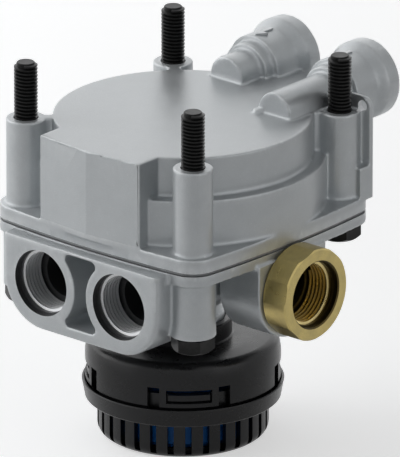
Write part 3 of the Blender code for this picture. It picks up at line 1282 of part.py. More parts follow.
def make_silencer_housing():
    """Upper half of the silencer: neck, shoulder and skirt with four windowed tabs."""
    shoulder_z = HOUSING_SHOULDER_Z - SHOULDER_DROP
    crown_radius = HOUSING_SHOULDER_RADIUS - SHOULDER_INSET
    roof_z = HOUSING_TOP_Z - HOUSING_ROOF
    lip_radius = NECK_BORE_RADIUS - NECK_LIP
    lip_z = SPIGOT_FOOT_Z - SEAT_GAP
    profile = [(NECK_BORE_RADIUS, NECK_TOP_Z), (NECK_RADIUS, NECK_TOP_Z)]
    profile += [(NECK_RADIUS, HOUSING_TOP_Z), (crown_radius - SUNK, HOUSING_TOP_Z)]
    profile += arc(
        (crown_radius, HOUSING_SHOULDER_Z - SHOULDER_SINK),
        SHOULDER_ROUNDING,
        math.radians(75),
        math.radians(15),
        2,
    )
    profile += [
        (HOUSING_RADIUS, shoulder_z),
        (HOUSING_RADIUS, SKIRT_TOP_Z),
        (SKIRT_RADIUS, SKIRT_TOP_Z - SKIRT_STEP),
        (SKIRT_RADIUS, HOUSING_FOOT_Z),
        (HOUSING_BORE_RADIUS, HOUSING_FOOT_Z),
        (HOUSING_BORE_RADIUS, shoulder_z),
        (HOUSING_BORE_RADIUS - SHOULDER_ROUNDING, roof_z),
        (lip_radius, roof_z),
        (lip_radius, lip_z),
        (NECK_BORE_RADIUS, lip_z),
    ]
    housing = turned("silencer_housing", profile, CORE_FACETS, group=PARTS)
    inner = HOUSING_BORE_RADIUS - SUNK
    outer = HOUSING_RADIUS + SUNK
    for i, heading in enumerate(TAB_DIRECTIONS):
        half = TAB_WINDOW_HALF_ANGLE
        window = sector(
            f"window_{i}",
            inner,
            outer,
            heading - half,
            heading + half,
            TAB_WINDOW_FOOT_Z,
            TAB_WINDOW_TOP_Z,
            4,
        )
        cut(housing, window)
        for side in (-1, 1):
            near, far = (heading + side * angle for angle in TAB_SLOT_ANGLES)
            slot = sector(
                f"tab_slot_{i}_{side}",
                inner,
                outer,
                min(near, far),
                max(near, far),
                HOUSING_FOOT_Z - CUT_PAST,
                TAB_SLOT_TOP_Z,
                2,
            )
            cut(housing, slot)
    return finish_part(housing, (0.012, 0.013, 0.014), 0.42, 0.0)


def make_silencer_cage():
    """Lower half of the silencer: slotted cage, flared collar and the ring with its latches."""
    rounding = arc(
        (CAGE_RADIUS - CAGE_BASE_ROUNDING, CAGE_BASE_ROUNDING),
        CAGE_BASE_ROUNDING,
        0.0,
        -math.pi / 2,
        2,
    )
    floor = CAGE_HEIGHT
    latch_inner = LATCH_RING_RADIUS - LATCH_RING_WALL
    profile = [
        (LATCH_RING_RADIUS, LATCH_RING_TOP_Z),
        (LATCH_RING_RADIUS, floor + COLLAR_FLOOR),
        (COLLAR_BORE_RADIUS, floor + COLLAR_FLOOR),
        (COLLAR_BORE_RADIUS, COLLAR_RIM_Z - COLLAR_RIM_HEIGHT),
        (COLLAR_RIM_RADIUS - COLLAR_RIM_WALL, COLLAR_RIM_Z),
        (COLLAR_RIM_RADIUS, COLLAR_RIM_Z),
        (COLLAR_FOOT_RADIUS, floor),
        (CAGE_RADIUS, floor),
    ]
    profile += rounding
    profile += [
        (RIVET_RADIUS + SEAT_GAP, 0.0),
        (RIVET_RADIUS + SEAT_GAP, CAGE_BASE_THICKNESS),
        (CAGE_RADIUS - CAGE_BASE_ROUNDING, CAGE_BASE_THICKNESS),
        (CAGE_RADIUS - CAGE_WALL, CAGE_BASE_ROUNDING),
        (CAGE_RADIUS - CAGE_WALL, floor),
        (latch_inner, floor + COLLAR_FLOOR),
        (latch_inner, LATCH_RING_TOP_Z),
    ]
    cage = turned("silencer_cage", profile, CAGE_SLOTS, group=PARTS)
    for i, heading in enumerate(TAB_DIRECTIONS):
        half = TAB_WINDOW_HALF_ANGLE - LATCH_SIDE_ANGLE
        latch = sector(
            f"latch_{i}",
            LATCH_RING_RADIUS - LATCH_RING_WALL / 2,
            LATCH_RING_RADIUS + LATCH_REACH,
            heading - half,
            heading + half,
            LATCH_Z,
            LATCH_Z + LATCH_HEIGHT,
            4,
        )
        join(cage, latch)
    half = CAGE_SLOT_WIDTH / 2
    for i in range(CAGE_SLOTS):
        heading = TAB_DIRECTIONS[-1] + math.tau * i / CAGE_SLOTS
        outline = [
            (CAGE_SLOT_INNER_RADIUS, -half),
            (CAGE_RADIUS + CUT_PAST, -half),
            (CAGE_RADIUS + CUT_PAST, half),
            (CAGE_SLOT_INNER_RADIUS, half),
        ]
        place = Matrix.Translation((0, 0, CAGE_SLOT_FOOT_Z)) @ Matrix.Rotation(heading, 4, "Z")
        height = CAGE_HEIGHT - CAGE_SLOT_ROOF - CAGE_SLOT_FOOT_Z
        cut(cage, outline_plate(f"cage_slot_{i}", [outline], height, place=place))
    return finish_part(cage, (0.012, 0.013, 0.014), 0.42, 0.0)


def make_silencer_insert():
    """Blue insert: a plain cup that shows through the cage's slots."""
    foot = CAGE_BASE_THICKNESS + SEAT_GAP
    wall = INSERT_WALL
    profile = [
        (INSERT_RADIUS, INSERT_TOP_Z),
        (INSERT_RADIUS, foot + INSERT_CHAMFER),
        (INSERT_RADIUS - INSERT_CHAMFER, foot),
        (RIVET_RADIUS + SEAT_GAP, foot),
        (RIVET_RADIUS + SEAT_GAP, foot + wall),
        (INSERT_RADIUS - INSERT_CHAMFER - wall / 2, foot + wall),
        (INSERT_RADIUS - wall, foot + wall + INSERT_CHAMFER / 2),
        (INSERT_RADIUS - wall, INSERT_TOP_Z),
    ]
    insert = turned("silencer_insert", profile, CAGE_SLOTS, group=PARTS)
    return finish_part(insert, (0.01, 0.10, 0.35), 0.5, 0.0)


def make_rivet():
    """Plastic rivet that holds the insert to the cage's base."""
    head_foot = CAGE_BASE_THICKNESS + SEAT_GAP + INSERT_WALL + SEAT_GAP
    head_top = head_foot + RIVET_HEAD_HEIGHT
    profile = [
        (0.0, head_top),
        (RIVET_HEAD_RADIUS - RIVET_HEAD_CHAMFER, head_top),
        (RIVET_HEAD_RADIUS, head_top - RIVET_HEAD_CHAMFER),
        (RIVET_HEAD_RADIUS, head_foot),
        (RIVET_RADIUS, head_foot),
        (RIVET_RADIUS, 0.0),
        (0.0, 0.0),
    ]
    rivet = turned("silencer_rivet", profile, HOLE_FACETS, group=PARTS)
    return finish_part(rivet, (0.25, 0.26, 0.27), 0.5, 0.0)


make_body()
make_gasket()
make_cover()
make_bolts()
make_adapter()
make_adapter_seal()
make_relay_piston()
make_control_piston()
make_valve()
make_spring()
make_guide()
make_clip()
make_silencer_housing()
make_silencer_cage()
make_silencer_insert()
make_rivet()
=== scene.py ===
"""Looks of the air brake relay valve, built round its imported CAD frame.

The two castings are made as a foundry and a machine shop would make them: a sharp pattern, a
skin that rounds its edges and fills its corners, and then the machined faces, bores and holes.
Threads, the spring, the slotted cage and the skin are Geometry Nodes. All sizes are in metres.
"""

import math
from contextlib import contextmanager

import bmesh
import bpy
from mathutils import Matrix, Vector


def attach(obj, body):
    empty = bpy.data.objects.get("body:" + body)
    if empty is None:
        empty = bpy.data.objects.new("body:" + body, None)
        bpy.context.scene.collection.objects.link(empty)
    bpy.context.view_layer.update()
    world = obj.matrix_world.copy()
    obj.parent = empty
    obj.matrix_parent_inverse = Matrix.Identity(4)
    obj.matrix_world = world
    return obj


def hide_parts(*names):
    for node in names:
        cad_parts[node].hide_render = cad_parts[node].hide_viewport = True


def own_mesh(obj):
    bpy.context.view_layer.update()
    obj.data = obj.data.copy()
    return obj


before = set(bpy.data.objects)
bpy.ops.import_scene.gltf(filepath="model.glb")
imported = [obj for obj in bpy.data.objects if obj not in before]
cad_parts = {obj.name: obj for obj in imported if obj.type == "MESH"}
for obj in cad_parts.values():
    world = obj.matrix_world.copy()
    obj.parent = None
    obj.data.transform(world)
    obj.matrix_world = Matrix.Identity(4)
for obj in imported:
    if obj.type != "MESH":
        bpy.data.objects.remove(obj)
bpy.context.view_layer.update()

MM = 0.001

# Heights up the valve axis
CAGE_WALL_TOP_Z = 13.4 * MM
COLLAR_RIM_Z = 19.6 * MM
HOUSING_FOOT_Z = 15.6 * MM
HOUSING_SHOULDER_Z = 33.0 * MM
HOUSING_TOP_Z = 35.6 * MM
NECK_TOP_Z = 42.0 * MM
SPIGOT_FOOT_Z = 38.5 * MM
CORE_FOOT_Z = 48.6 * MM
COLUMN_FOOT_Z = 54.8 * MM
PORT_Z = 63.5 * MM
BODY_FLANGE_FOOT_Z = 74.4 * MM
BODY_TOP_Z = 78.2 * MM
COVER_FOOT_Z = 79.3 * MM
COVER_FLANGE_TOP_Z = 84.0 * MM
LEDGE_Z = 100.3 * MM
COVER_TOP_Z = 114.2 * MM

# Screws, M8 x 1.25 on a square, and the flange round them
BOLT_OFFSET = 37.5 * MM
BOLT_RADIUS = 4.0 * MM
BOLT_ROOT_RADIUS = 3.15 * MM
BOLT_PITCH = 1.25 * MM
BOLT_HOLE_RADIUS = 4.3 * MM
BOLT_TOP_Z = 134.0 * MM
BOLT_TIP_CHAMFER = 0.8 * MM
BOLT_THREAD_FOOT_Z = 108.0 * MM
BOLT_HEAD_HEIGHT = 5.3 * MM
BOLT_HEAD_ACROSS_FLATS = 13.0 * MM
BOLT_HEAD_END_SHARE = 0.47
BOLT_HEAD_SEAT_SHARE = 0.48
BOLT_HEAD_ROUNDING_SHARE = 0.25
BOLT_SEAT_STEP = 0.4 * MM
BOLT_SHANK_RADIUS = BOLT_RADIUS - 0.1 * MM
BOLT_THREAD_RUNOUT = 0.6 * MM
BOLT_ROOT_CHAMFER = 0.3 * MM
SEAT_GAP = 0.3 * MM
FLANGE_CORNER_RADIUS = 9.0 * MM
FLANGE_BOW = 1.7 * MM

# Cover casting
UPPER_DRUM_RADIUS = 44.0 * MM
LOWER_DRUM_RADIUS = 48.4 * MM
COVER_ROOF = 3.8 * MM
LOWER_BORE_RADIUS = 44.0 * MM
UPPER_BORE_RADIUS = 38.5 * MM
STOP_RADIUS = 6.0 * MM
STOP_Z = 105.8 * MM
SLEEVE_RADIUS = 6.8 * MM
WEB_THICKNESS = 4.4 * MM
PROW_HALF_WIDTH = 22.2 * MM
PROW_CORNER_Y = -47.6 * MM
PROW_RIDGE_Y = -49.4 * MM
PROW_TRIM = 0.1 * MM
PROW_RIM = 0.3 * MM
PROW_SLOPE = (PROW_CORNER_Y - PROW_RIDGE_Y) / PROW_HALF_WIDTH
PROW_TRIMMED_RIDGE_Y = PROW_RIDGE_Y + PROW_TRIM
PROW_FLATNESS = 0.005 * MM
EAR_PLATE_BACK_Y = 44.5 * MM
EAR_PLATE_THICKNESS = 1.8 * MM
EAR_PLATE_LEFT_X = -22.0 * MM
EAR_PLATE_RIGHT_X = 46.6 * MM
EAR_PLATE_TOP_Z = 119.0 * MM
EAR_CORNER_RADIUS = 3.5 * MM
EAR_HOLE_RADIUS = 1.95 * MM
EAR_HOLE_X = 43.2 * MM
EAR_HOLE_Z = 115.6 * MM
EAR_NOTCH_MARGIN = 3.0 * MM
EAR_NOTCH_DROP = 4.0 * MM
CORNER_BLOCK_FRONT_Y = 37.8 * MM
CORNER_BLOCK_TOP_Z = 95.0 * MM
CORNER_BLOCK_LEFT_X = 39.0 * MM

# Control tubes, M16 x 1.5 inside
TUBE_AXIS_Z = 115.4 * MM
TUBE_X = (-10.35 * MM, 25.2 * MM)
TUBE_FRONT_Y = (34.0 * MM, 18.0 * MM)
TUBE_STEP_Y = 44.0 * MM
TUBE_BARREL_Y = 48.0 * MM
TUBE_FLARE_Y = 58.6 * MM
TUBE_RIM_Y = 61.9 * MM
TUBE_MOUTH_Y = 67.0 * MM
TUBE_FRONT_RADIUS = 7.15 * MM
TUBE_STEP_RADIUS = 9.3 * MM
TUBE_BARREL_RADIUS = 11.2 * MM
TUBE_RIM_RADIUS = 13.7 * MM
TUBE_THREAD_RADIUS = 8.0 * MM
TUBE_CREST_RADIUS = TUBE_THREAD_RADIUS - 0.8 * MM
TUBE_THREAD_DEPTH = 13.0 * MM
TUBE_THREAD_TURNS = 6.5
TUBE_ENTRY_RADIUS = 8.9 * MM
TUBE_ENTRY_DEPTH = 1.6 * MM
TUBE_BORE_RADIUS = 4.0 * MM
TUBE_WEB_HEIGHT = 8.0 * MM
TUBE_WEB_BACK_Y = 58.8 * MM
CONTROL_DRILL_RADIUS = 1.4 * MM
CONTROL_DRILL_Y = (36.0 * MM, 32.2 * MM)
CORNER_NUB_RADIUS = 1.7 * MM
CORNER_NUB_HEIGHT = 1.4 * MM
CORNER_NUB_PLACE = (18.3 * MM, 17.6 * MM)
ARROW_LENGTH = 8.4 * MM
ARROW_HEAD = 3.4 * MM
ARROW_HEAD_HALF_WIDTH = ARROW_HEAD * 0.8
ARROW_LINE = 1.3 * MM
ARROW_RISE = 0.55 * MM

# Body casting
PORT_X = (-17.5 * MM, 17.5 * MM)
PORT_BLOCK_FACE_Y = -52.6 * MM
PORT_BLOCK_BACK_Y = -28.0 * MM
PORT_BLOCK_RADIUS = 17.0 * MM
PORT_BLOCK_ROUNDING = 1.5 * MM
PORT_BLOCK_DROP = 0.4 * MM
BARREL_RADIUS = 11.8 * MM
BARREL_BACK_Y = -10.5 * MM
POCKET_RING_RADIUS = 15.0 * MM
POCKET_HALF_WIDTH = 6.8 * MM
POCKET_TOP_Z = 76.6 * MM
POCKET_FOOT_Z = 50.6 * MM
POCKET_CORNER_RADIUS = 1.8 * MM
POCKET_DEPTH = 13.0 * MM
COLUMN_RADIUS = 7.8 * MM
SPOT_FACE_RADIUS = 8.2 * MM
CORE_RADIUS = 15.3 * MM
SPIGOT_RADIUS = 14.2 * MM
SPIGOT_GROOVE_RADIUS = 13.2 * MM
SPIGOT_GROOVE_FOOT_Z = NECK_TOP_Z + 2.5 * MM
DELIVERY_DRUM_RADIUS = 35.0 * MM
DELIVERY_DRUM_FOOT_Z = 66.0 * MM
DELIVERY_BOWL_RADIUS = 31.5 * MM
DELIVERY_BOWL_FLOOR_Z = 71.5 * MM
DELIVERY_RISER_RADIUS = 5.0 * MM
DELIVERY_RISER_Y = -19.0 * MM
RIB_THICKNESS = 4.0 * MM
RIB_FOOT_RISE = 2.0 * MM
RIB_TIP_HEIGHT = 1.6 * MM
RIB_TO_SCREW_HEAD = 2.5 * MM
SUPPLY_PAD_FACE_X = 49.2 * MM
SUPPLY_PAD_BACK_X = 31.4 * MM
SUPPLY_PAD_RADIUS = 17.1 * MM
SUPPLY_LINK_RADIUS = 11.5 * MM
SUPPLY_PASSAGE_RADIUS = 5.5 * MM
SUPPLY_PASSAGE_Z = 59.5 * MM
SUPPLY_SOCKET_RADIUS = 13.3 * MM
SUPPLY_SOCKET_END_X = 33.9 * MM
SUPPLY_CHAMBER_RADIUS = 12.8 * MM
SUPPLY_CHAMBER_FLOOR_Z = 53.0 * MM
SUPPLY_CHAMBER_ROOF_Z = 66.0 * MM
VALVE_BORE_RADIUS = 11.5 * MM
VALVE_BORE_CHAMFER = 1.3 * MM
INLET_SEAT_RADIUS = 8.2 * MM

# Spring under the inlet valve, which it shortens as the valve opens
SPRING_RADIUS = 8.4 * MM
SPRING_WIRE = 0.55 * MM
SPRING_FOOT_Z = 49.85 * MM
SPRING_TOP_Z = 58.6 * MM
SPRING_TURNS = 4.0

# M22 x 1.5 ports, front and supply
THREAD_RADIUS = 11.0 * MM
THREAD_CREST_RADIUS = 10.15 * MM
THREAD_PITCH = 1.5 * MM
THREAD_DEPTH = 12.5 * MM
THREAD_SUNK = 0.05 * MM
THREAD_FACETS = 48
ENTRY_RADIUS = 11.6 * MM
ENTRY_DEPTH = 2.3 * MM
PORT_BORE_RADIUS = 8.3 * MM
PORT_BORE_END_Y = -14.0 * MM

# Brass supply adapter
ADAPTER_FACE_X = 49.5 * MM
ADAPTER_END_X = 59.6 * MM
ADAPTER_CORNER_RADIUS = 16.0 * MM
ADAPTER_ACROSS_FLATS = 31.0 * MM
ADAPTER_TURN = math.radians(17.0)
ADAPTER_SHANK_RADIUS = 13.0 * MM
ADAPTER_SHANK_LENGTH = 12.0 * MM
ADAPTER_CHAMFER = 0.5 * MM
ADAPTER_ENTRY_CHAMFER = 0.4 * MM
ADAPTER_EDGE = 0.12 * MM
ADAPTER_EDGE_ANGLE = math.radians(28.0)

# Silencer
NECK_RADIUS = 16.7 * MM
NECK_BORE_RADIUS = 14.5 * MM
NECK_LIP_RADIUS = NECK_BORE_RADIUS - 1.5 * MM
NECK_CHAMFER = 0.4 * MM
NECK_FOOT_CHAMFER = 0.5 * MM
HOUSING_RADIUS = 33.3 * MM
HOUSING_SHOULDER_RADIUS = 31.8 * MM
HOUSING_WALL = 1.6 * MM
HOUSING_ROOF = 2.2 * MM
SHOULDER_ROUNDING = 3.2 * MM
SHOULDER_CENTRE = (HOUSING_SHOULDER_RADIUS - 2.2 * MM, HOUSING_SHOULDER_Z - 0.6 * MM)
SHOULDER_ANGLES = (math.radians(86), math.radians(12))
SHOULDER_DROP = 3.0 * MM
SHOULDER_INSIDE = 3.4 * MM
SKIRT_RADIUS = 32.5 * MM
SKIRT_STEP_HEIGHT = 0.8 * MM
SKIRT_TOP_Z = 20.4 * MM
CAGE_RADIUS = 29.2 * MM
CAGE_WALL = 2.2 * MM
CAGE_BASE_ROUNDING = 4.0 * MM
CAGE_BASE_THICKNESS = 2.4 * MM
CAGE_SLOTS = 30
CAGE_SLOT_WIDTH = 2.2 * MM
CAGE_SLOT_FOOT_Z = 1.6 * MM
CAGE_SLOT_TOP_Z = CAGE_WALL_TOP_Z - 0.4 * MM
CAGE_SLOT_INNER_RADIUS = 24.6 * MM
COLLAR_RIM_RADIUS = 34.4 * MM
COLLAR_FOOT_RADIUS = 33.4 * MM
COLLAR_BORE_RADIUS = 32.9 * MM
COLLAR_RIM_WALL = 0.8 * MM
COLLAR_FLOOR = 1.4 * MM
COLLAR_LIP_HEIGHT = 2.0 * MM
COLLAR_FOOT_CHAMFER = 0.4 * MM
COLLAR_RIM_CHAMFER = (0.2 * MM, 0.3 * MM)
LATCH_RING_RADIUS = 31.1 * MM
LATCH_RING_WALL = 1.6 * MM
LATCH_RING_TOP_Z = 24.5 * MM
LATCH_Z = 22.6 * MM
LATCH_HEIGHT = 2.0 * MM
LATCH_REACH = 1.6 * MM
TAB_WINDOW_HALF_ANGLE = math.radians(13.6)
LATCH_HALF_ANGLE = TAB_WINDOW_HALF_ANGLE - math.radians(1.0)
TAB_WINDOW_FOOT_Z = 21.8 * MM
TAB_WINDOW_TOP_Z = 26.5 * MM
TAB_SLOT_ANGLES = (math.radians(17.6), math.radians(24.9))
TAB_SLOT_TOP_Z = 27.2 * MM
TAB_DIRECTIONS = tuple(math.radians(angle) for angle in (45.0, 135.0, 225.0, 315.0))
INSERT_RADIUS = 26.0 * MM
INSERT_WALL = 1.5 * MM
INSERT_CHAMFER = 2.0 * MM
INSERT_TOP_Z = 30.0 * MM
RIVET_RADIUS = 3.0 * MM
MOULDING_EDGE = 0.25 * MM
MOULDING_EDGE_ANGLE = math.radians(35.0)

# The casting skin
SKIN_VOXEL = 0.3 * MM
SKIN_FILLET = 0.6 * MM
SKIN_EDGE = 0.15 * MM
SKIN_ADAPTIVITY = 0.05
BAND_WIDTH = 7
FACING_ALLOWANCE = 0.6 * MM

# How far a tool or a joined piece runs past the face that it meets
OVERSHOOT = 2.0 * MM
WELD_DISTANCE = 0.001 * MM
NEAR = 0.1 * MM
SMOOTH_ANGLE = math.radians(32.0)

# Facets round the turned pieces
DRUM_FACETS = 192
TUBE_FACETS = 96
BORE_FACETS = 96
SLEEVE_FACETS = 64
HOLE_FACETS = 40
HEXAGON_FACETS = 6

# Camera, floor and light
VIEW_HEIGHT = 154.65 * MM
VIEW_CENTRE = Vector((4.33, 3.81, 72.74)) * MM
VIEW_AZIMUTH = math.radians(41.3)
VIEW_ELEVATION = math.radians(20.4)
CAMERA_DISTANCE = 5.0
CAMERA_CLIP = (0.05, 200.0)
SENSOR = 36.0
FLOOR_HALF = 6.0
FLOOR_GAP = 0.05 * MM
FLOOR_COLOUR = (0.86, 0.87, 0.88)
FLOOR_LIFT = 0.55
SKY_COLOUR = (0.98, 0.99, 1.0)
SKY_LEVEL = 0.03

# Lamps: azimuth and elevation in degrees, side in metres and power in watts
LAMP_DISTANCE = 0.9
LAMPS = {
    "front_softbox": (-44.0, 20.0, 0.9, 2.9),
    "left_softbox": (-86.0, 22.0, 1.1, 3.9),
    "rear_softbox": (-150.0, 22.0, 0.9, 1.4),
    "right_fill": (95.0, 16.0, 0.7, 0.9),
    "top_fill": (-60.0, 72.0, 0.7, 0.3),
}


# Node helpers


def add_node(tree, kind, inputs=None, **options):
    """Add a node, set its options, and set or wire the inputs that are given by name or number."""
    step = tree.nodes.new(kind)
    for name, value in options.items():
        setattr(step, name, value)
    for key, value in (inputs or {}).items():
        if isinstance(value, bpy.types.NodeSocket):
            tree.links.new(value, step.inputs[key])
        else:
            step.inputs[key].default_value = value
    return step


def math_node(tree, operation, *values, clamp=False):
    """One Math node's result."""
    inputs = dict(enumerate(values))
    return add_node(tree, "ShaderNodeMath", inputs, operation=operation, use_clamp=clamp).outputs[0]


def new_group(name, kind, inputs, outputs):
    """A node group with named inputs, given as (name, type, value), and named outputs."""
    tree = bpy.data.node_groups.new(name, kind)
    for label, socket_type, value in inputs:
        socket = tree.interface.new_socket(label, in_out="INPUT", socket_type=socket_type)
        if value is not None:
            socket.default_value = value
    for label, socket_type in outputs:
        tree.interface.new_socket(label, in_out="OUTPUT", socket_type=socket_type)
    return tree, tree.nodes.new("NodeGroupInput").outputs, tree.nodes.new("NodeGroupOutput").inputs


# Mesh helpers


def link_shape(name, data):
    """Make an object for a mesh, curve, lamp or camera."""
    shape = bpy.data.objects.new(name, data)
    bpy.context.scene.collection.objects.link(shape)
    return shape


@contextmanager
def edited(mesh):
    """A BMesh of a mesh, written back at the end."""
    bm = bmesh.new()
    bm.from_mesh(mesh)
    yield bm
    bm.to_mesh(mesh)
    bm.free()


def evaluated_mesh(shape):
    """The mesh that an object's modifiers give."""
    graph = bpy.context.evaluated_depsgraph_get()
    return bpy.data.meshes.new_from_object(shape.evaluated_get(graph))


def drop(*shapes):
    """Remove tools that have done their work."""
    for shape in shapes:
        bpy.data.objects.remove(shape, do_unlink=True)


def welded(shape, name, place=None):
    """Turn a curve or a modified object into a closed mesh in its final place."""
    mesh = evaluated_mesh(shape)
    drop(shape)
    with edited(mesh) as bm:
        bmesh.ops.remove_doubles(bm, verts=bm.verts, dist=WELD_DISTANCE)
        if place is not None:
            bmesh.ops.transform(bm, matrix=place, verts=bm.verts)
        bmesh.ops.recalc_face_normals(bm, faces=bm.faces)
    return link_shape(name, mesh)


def along(direction):
    """Rotation that turns +Z to the given direction."""
    return Vector((0, 0, 1)).rotation_difference(Vector(direction)).to_matrix().to_4x4()


def cylinder(name, radius, start, end, facets):
    """A cylinder between two points."""
    start, end = Vector(start), Vector(end)
    place = Matrix.Translation((start + end) / 2) @ along((end - start).normalized())
    mesh = bpy.data.meshes.new(name)
    size = {"radius1": radius, "radius2": radius, "depth": (end - start).length}
    with edited(mesh) as bm:
        bmesh.ops.create_cone(bm, cap_ends=True, segments=facets, matrix=place, **size)
    return link_shape(name, mesh)


def box(name, low, high):
    """A box between its lowest and highest corners."""
    low, high = Vector(low), Vector(high)
    place = Matrix.Translation((low + high) / 2) @ Matrix.Diagonal((*(high - low), 1.0))
    mesh = bpy.data.meshes.new(name)
    with edited(mesh) as bm:
        bmesh.ops.create_cube(bm, size=1.0, matrix=place)
    return link_shape(name, mesh)


def turned(name, profile, facets, place=None):
    """Revolve a profile of (radius, height) points about Z with a Screw modifier."""
    mesh = bpy.data.meshes.new(name)
    count = len(profile)
    edges = [(i, i + 1) for i in range(count - 1)]
    if all(radius > 0 for radius, _ in profile):
        edges.append((count - 1, 0))
    mesh.from_pydata([(radius, 0.0, height) for radius, height in profile], edges, [])
    shape = link_shape(name, mesh)
    screw = shape.modifiers.new("turn", "SCREW")
    screw.steps = facets
    screw.render_steps = facets
    screw.use_merge_vertices = True
    screw.merge_threshold = WELD_DISTANCE
    return welded(shape, name, place)


def outline_plate(name, outlines, thickness, place=None):
    """A flat plate from closed outlines, the later ones holes, standing on the XY plane."""
    curve = bpy.data.curves.new(name, "CURVE")
    curve.dimensions = "2D"
    curve.fill_mode = "BOTH"
    curve.extrude = thickness / 2
    for outline in outlines:
        spline = curve.splines.new("POLY")
        spline.points.add(len(outline) - 1)
        for point, (x, y) in zip(spline.points, outline):
            point.co = (x, y, 0.0, 1.0)
        spline.use_cyclic_u = True
    lift = Matrix.Translation((0, 0, thickness / 2))
    return welded(link_shape(name, curve), name, (place or Matrix()) @ lift)


def arc(centre, radius, start, end, steps):
    """Points on an arc, both ends included."""
    angles = [start + (end - start) * i / steps for i in range(steps + 1)]
    return [(centre[0] + radius * math.cos(a), centre[1] + radius * math.sin(a)) for a in angles]


def combine(shape, tools, operation):
    """Join or cut a shape with tools, whose materials go to the faces that they make."""
    for tool in tools:
        modifier = shape.modifiers.new(tool.name, "BOOLEAN")
        modifier.operation = operation
        modifier.solver = "MANIFOLD"
        modifier.material_mode = "TRANSFER"
        modifier.object = tool
    mesh = evaluated_mesh(shape)
    shape.modifiers.clear()
    shape.data = mesh
    drop(*tools)
    return shape


def join(shape, *tools):
    """Join tools to a shape."""
    return combine(shape, tools, "UNION")


def cut(shape, *tools):
    """Cut a shape with tools."""
    return combine(shape, tools, "DIFFERENCE")


def finish_edges(shape, angle=SMOOTH_ANGLE):
    """Shade round surfaces smooth and keep their real edges sharp."""
    shape.data.shade_smooth()
    shape.data.set_sharp_from_angle(angle=angle)
    return shape


def grown(name, tree, values, base=None):
    """Run a Geometry Nodes tree on a mesh, or on nothing, and keep its result as a mesh."""
    shape = base or link_shape(name, bpy.data.meshes.new(name))
    modifier = shape.modifiers.new(tree.name, "NODES")
    modifier.node_group = tree
    sockets = {
        item.name: item.identifier
        for item in tree.interface.items_tree
        if item.item_type == "SOCKET" and item.in_out == "INPUT"
    }
    for label, value in values.items():
        modifier[sockets[label]] = value
    mesh = evaluated_mesh(shape)
    shape.modifiers.remove(modifier)
    shape.data = mesh
    shape.name = name
    return shape


# Geometry Nodes


def make_skin_tree():
    """Fills a pattern's inside corners to one radius and rounds its edges to another.

    The shape is swollen by the fillet, shrunk past its own size and swollen back, each time
    through a grid of distances.
    """
    length = "NodeSocketFloat"
    inputs = [("Pattern", "NodeSocketGeometry", None)]
    inputs += [("Voxel Size", length, SKIN_VOXEL), ("Fillet Radius", length, SKIN_FILLET)]
    inputs += [("Edge Radius", length, SKIN_EDGE), ("Adaptivity", length, SKIN_ADAPTIVITY)]
    inputs += [("Material", "NodeSocketMaterial", None)]
    tree, given, result = new_group(
        "casting_skin", "GeometryNodeTree", inputs, [("Casting", "NodeSocketGeometry")]
    )
    swell = given["Fillet Radius"]
    rounding = given["Edge Radius"]
    shrink = math_node(tree, "MULTIPLY", math_node(tree, "ADD", swell, rounding), -1.0)
    shape = given["Pattern"]
    for level, adaptivity in ((swell, 0.0), (shrink, 0.0), (rounding, given["Adaptivity"])):
        grid = add_node(
            tree,
            "GeometryNodeMeshToSDFGrid",
            {"Mesh": shape, "Voxel Size": given["Voxel Size"], "Band Width": BAND_WIDTH},
        )
        surface = {"Grid": grid.outputs[0], "Threshold": level, "Adaptivity": adaptivity}
        shape = add_node(tree, "GeometryNodeGridToMesh", surface).outputs[0]
    finish_tree(tree, shape, given["Material"], result)
    return tree


def finish_tree(tree, shape, material, result):
    """End a tree with real geometry that has its material."""
    real = add_node(tree, "GeometryNodeRealizeInstances", {"Geometry": shape}).outputs[0]
    coated = add_node(tree, "GeometryNodeSetMaterial", {"Geometry": real, "Material": material})
    tree.links.new(coated.outputs[0], result[0])


def make_thread_tree():
    """A screw thread: a ridge that climbs a helix, standing out from its root to its crest."""
    length = "NodeSocketFloat"
    inputs = [("Root Radius", length, BOLT_ROOT_RADIUS), ("Crest Radius", length, BOLT_RADIUS)]
    inputs += [("Pitch", length, BOLT_PITCH), ("Turns", length, 10.0)]
    inputs += [("Foot Share", length, 1.0), ("Crest Share", length, 0.16)]
    inputs += [("Facets", "NodeSocketInt", THREAD_FACETS)]
    inputs += [("Material", "NodeSocketMaterial", None)]
    tree, given, result = new_group(
        "screw_thread", "GeometryNodeTree", inputs, [("Thread", "NodeSocketGeometry")]
    )
    root, crest, pitch = given["Root Radius"], given["Crest Radius"], given["Pitch"]
    rise = math_node(tree, "MULTIPLY", pitch, given["Turns"])
    helix = add_node(
        tree,
        "GeometryNodeCurveSpiral",
        {
            "Resolution": given["Facets"],
            "Rotations": given["Turns"],
            "Start Radius": root,
            "End Radius": root,
            "Height": rise,
        },
    )
    upright = add_node(
        tree, "GeometryNodeSetCurveNormal", {"Curve": helix.outputs[0]}, mode="Z_UP"
    )
    height = math_node(tree, "SUBTRACT", root, crest)
    half = math_node(tree, "MULTIPLY", pitch, 0.5)
    foot = math_node(tree, "MULTIPLY", half, given["Foot Share"])
    top = math_node(tree, "MULTIPLY", half, given["Crest Share"])
    minus = [math_node(tree, "MULTIPLY", value, -1.0) for value in (foot, top)]
    corners = ((0.0, foot), (height, top), (height, minus[1]), (0.0, minus[0]))
    section = add_node(tree, "GeometryNodeCurvePrimitiveQuadrilateral", mode="POINTS")
    for number, (across, up) in enumerate(corners, 1):
        point = add_node(tree, "ShaderNodeCombineXYZ", {"X": across, "Y": up}).outputs[0]
        tree.links.new(point, section.inputs[f"Point {number}"])
    ridge = add_node(
        tree,
        "GeometryNodeCurveToMesh",
        {"Curve": upright.outputs[0], "Profile Curve": section.outputs[0], "Fill Caps": True},
    )
    finish_tree(tree, ridge.outputs[0], given["Material"], result)
    return tree


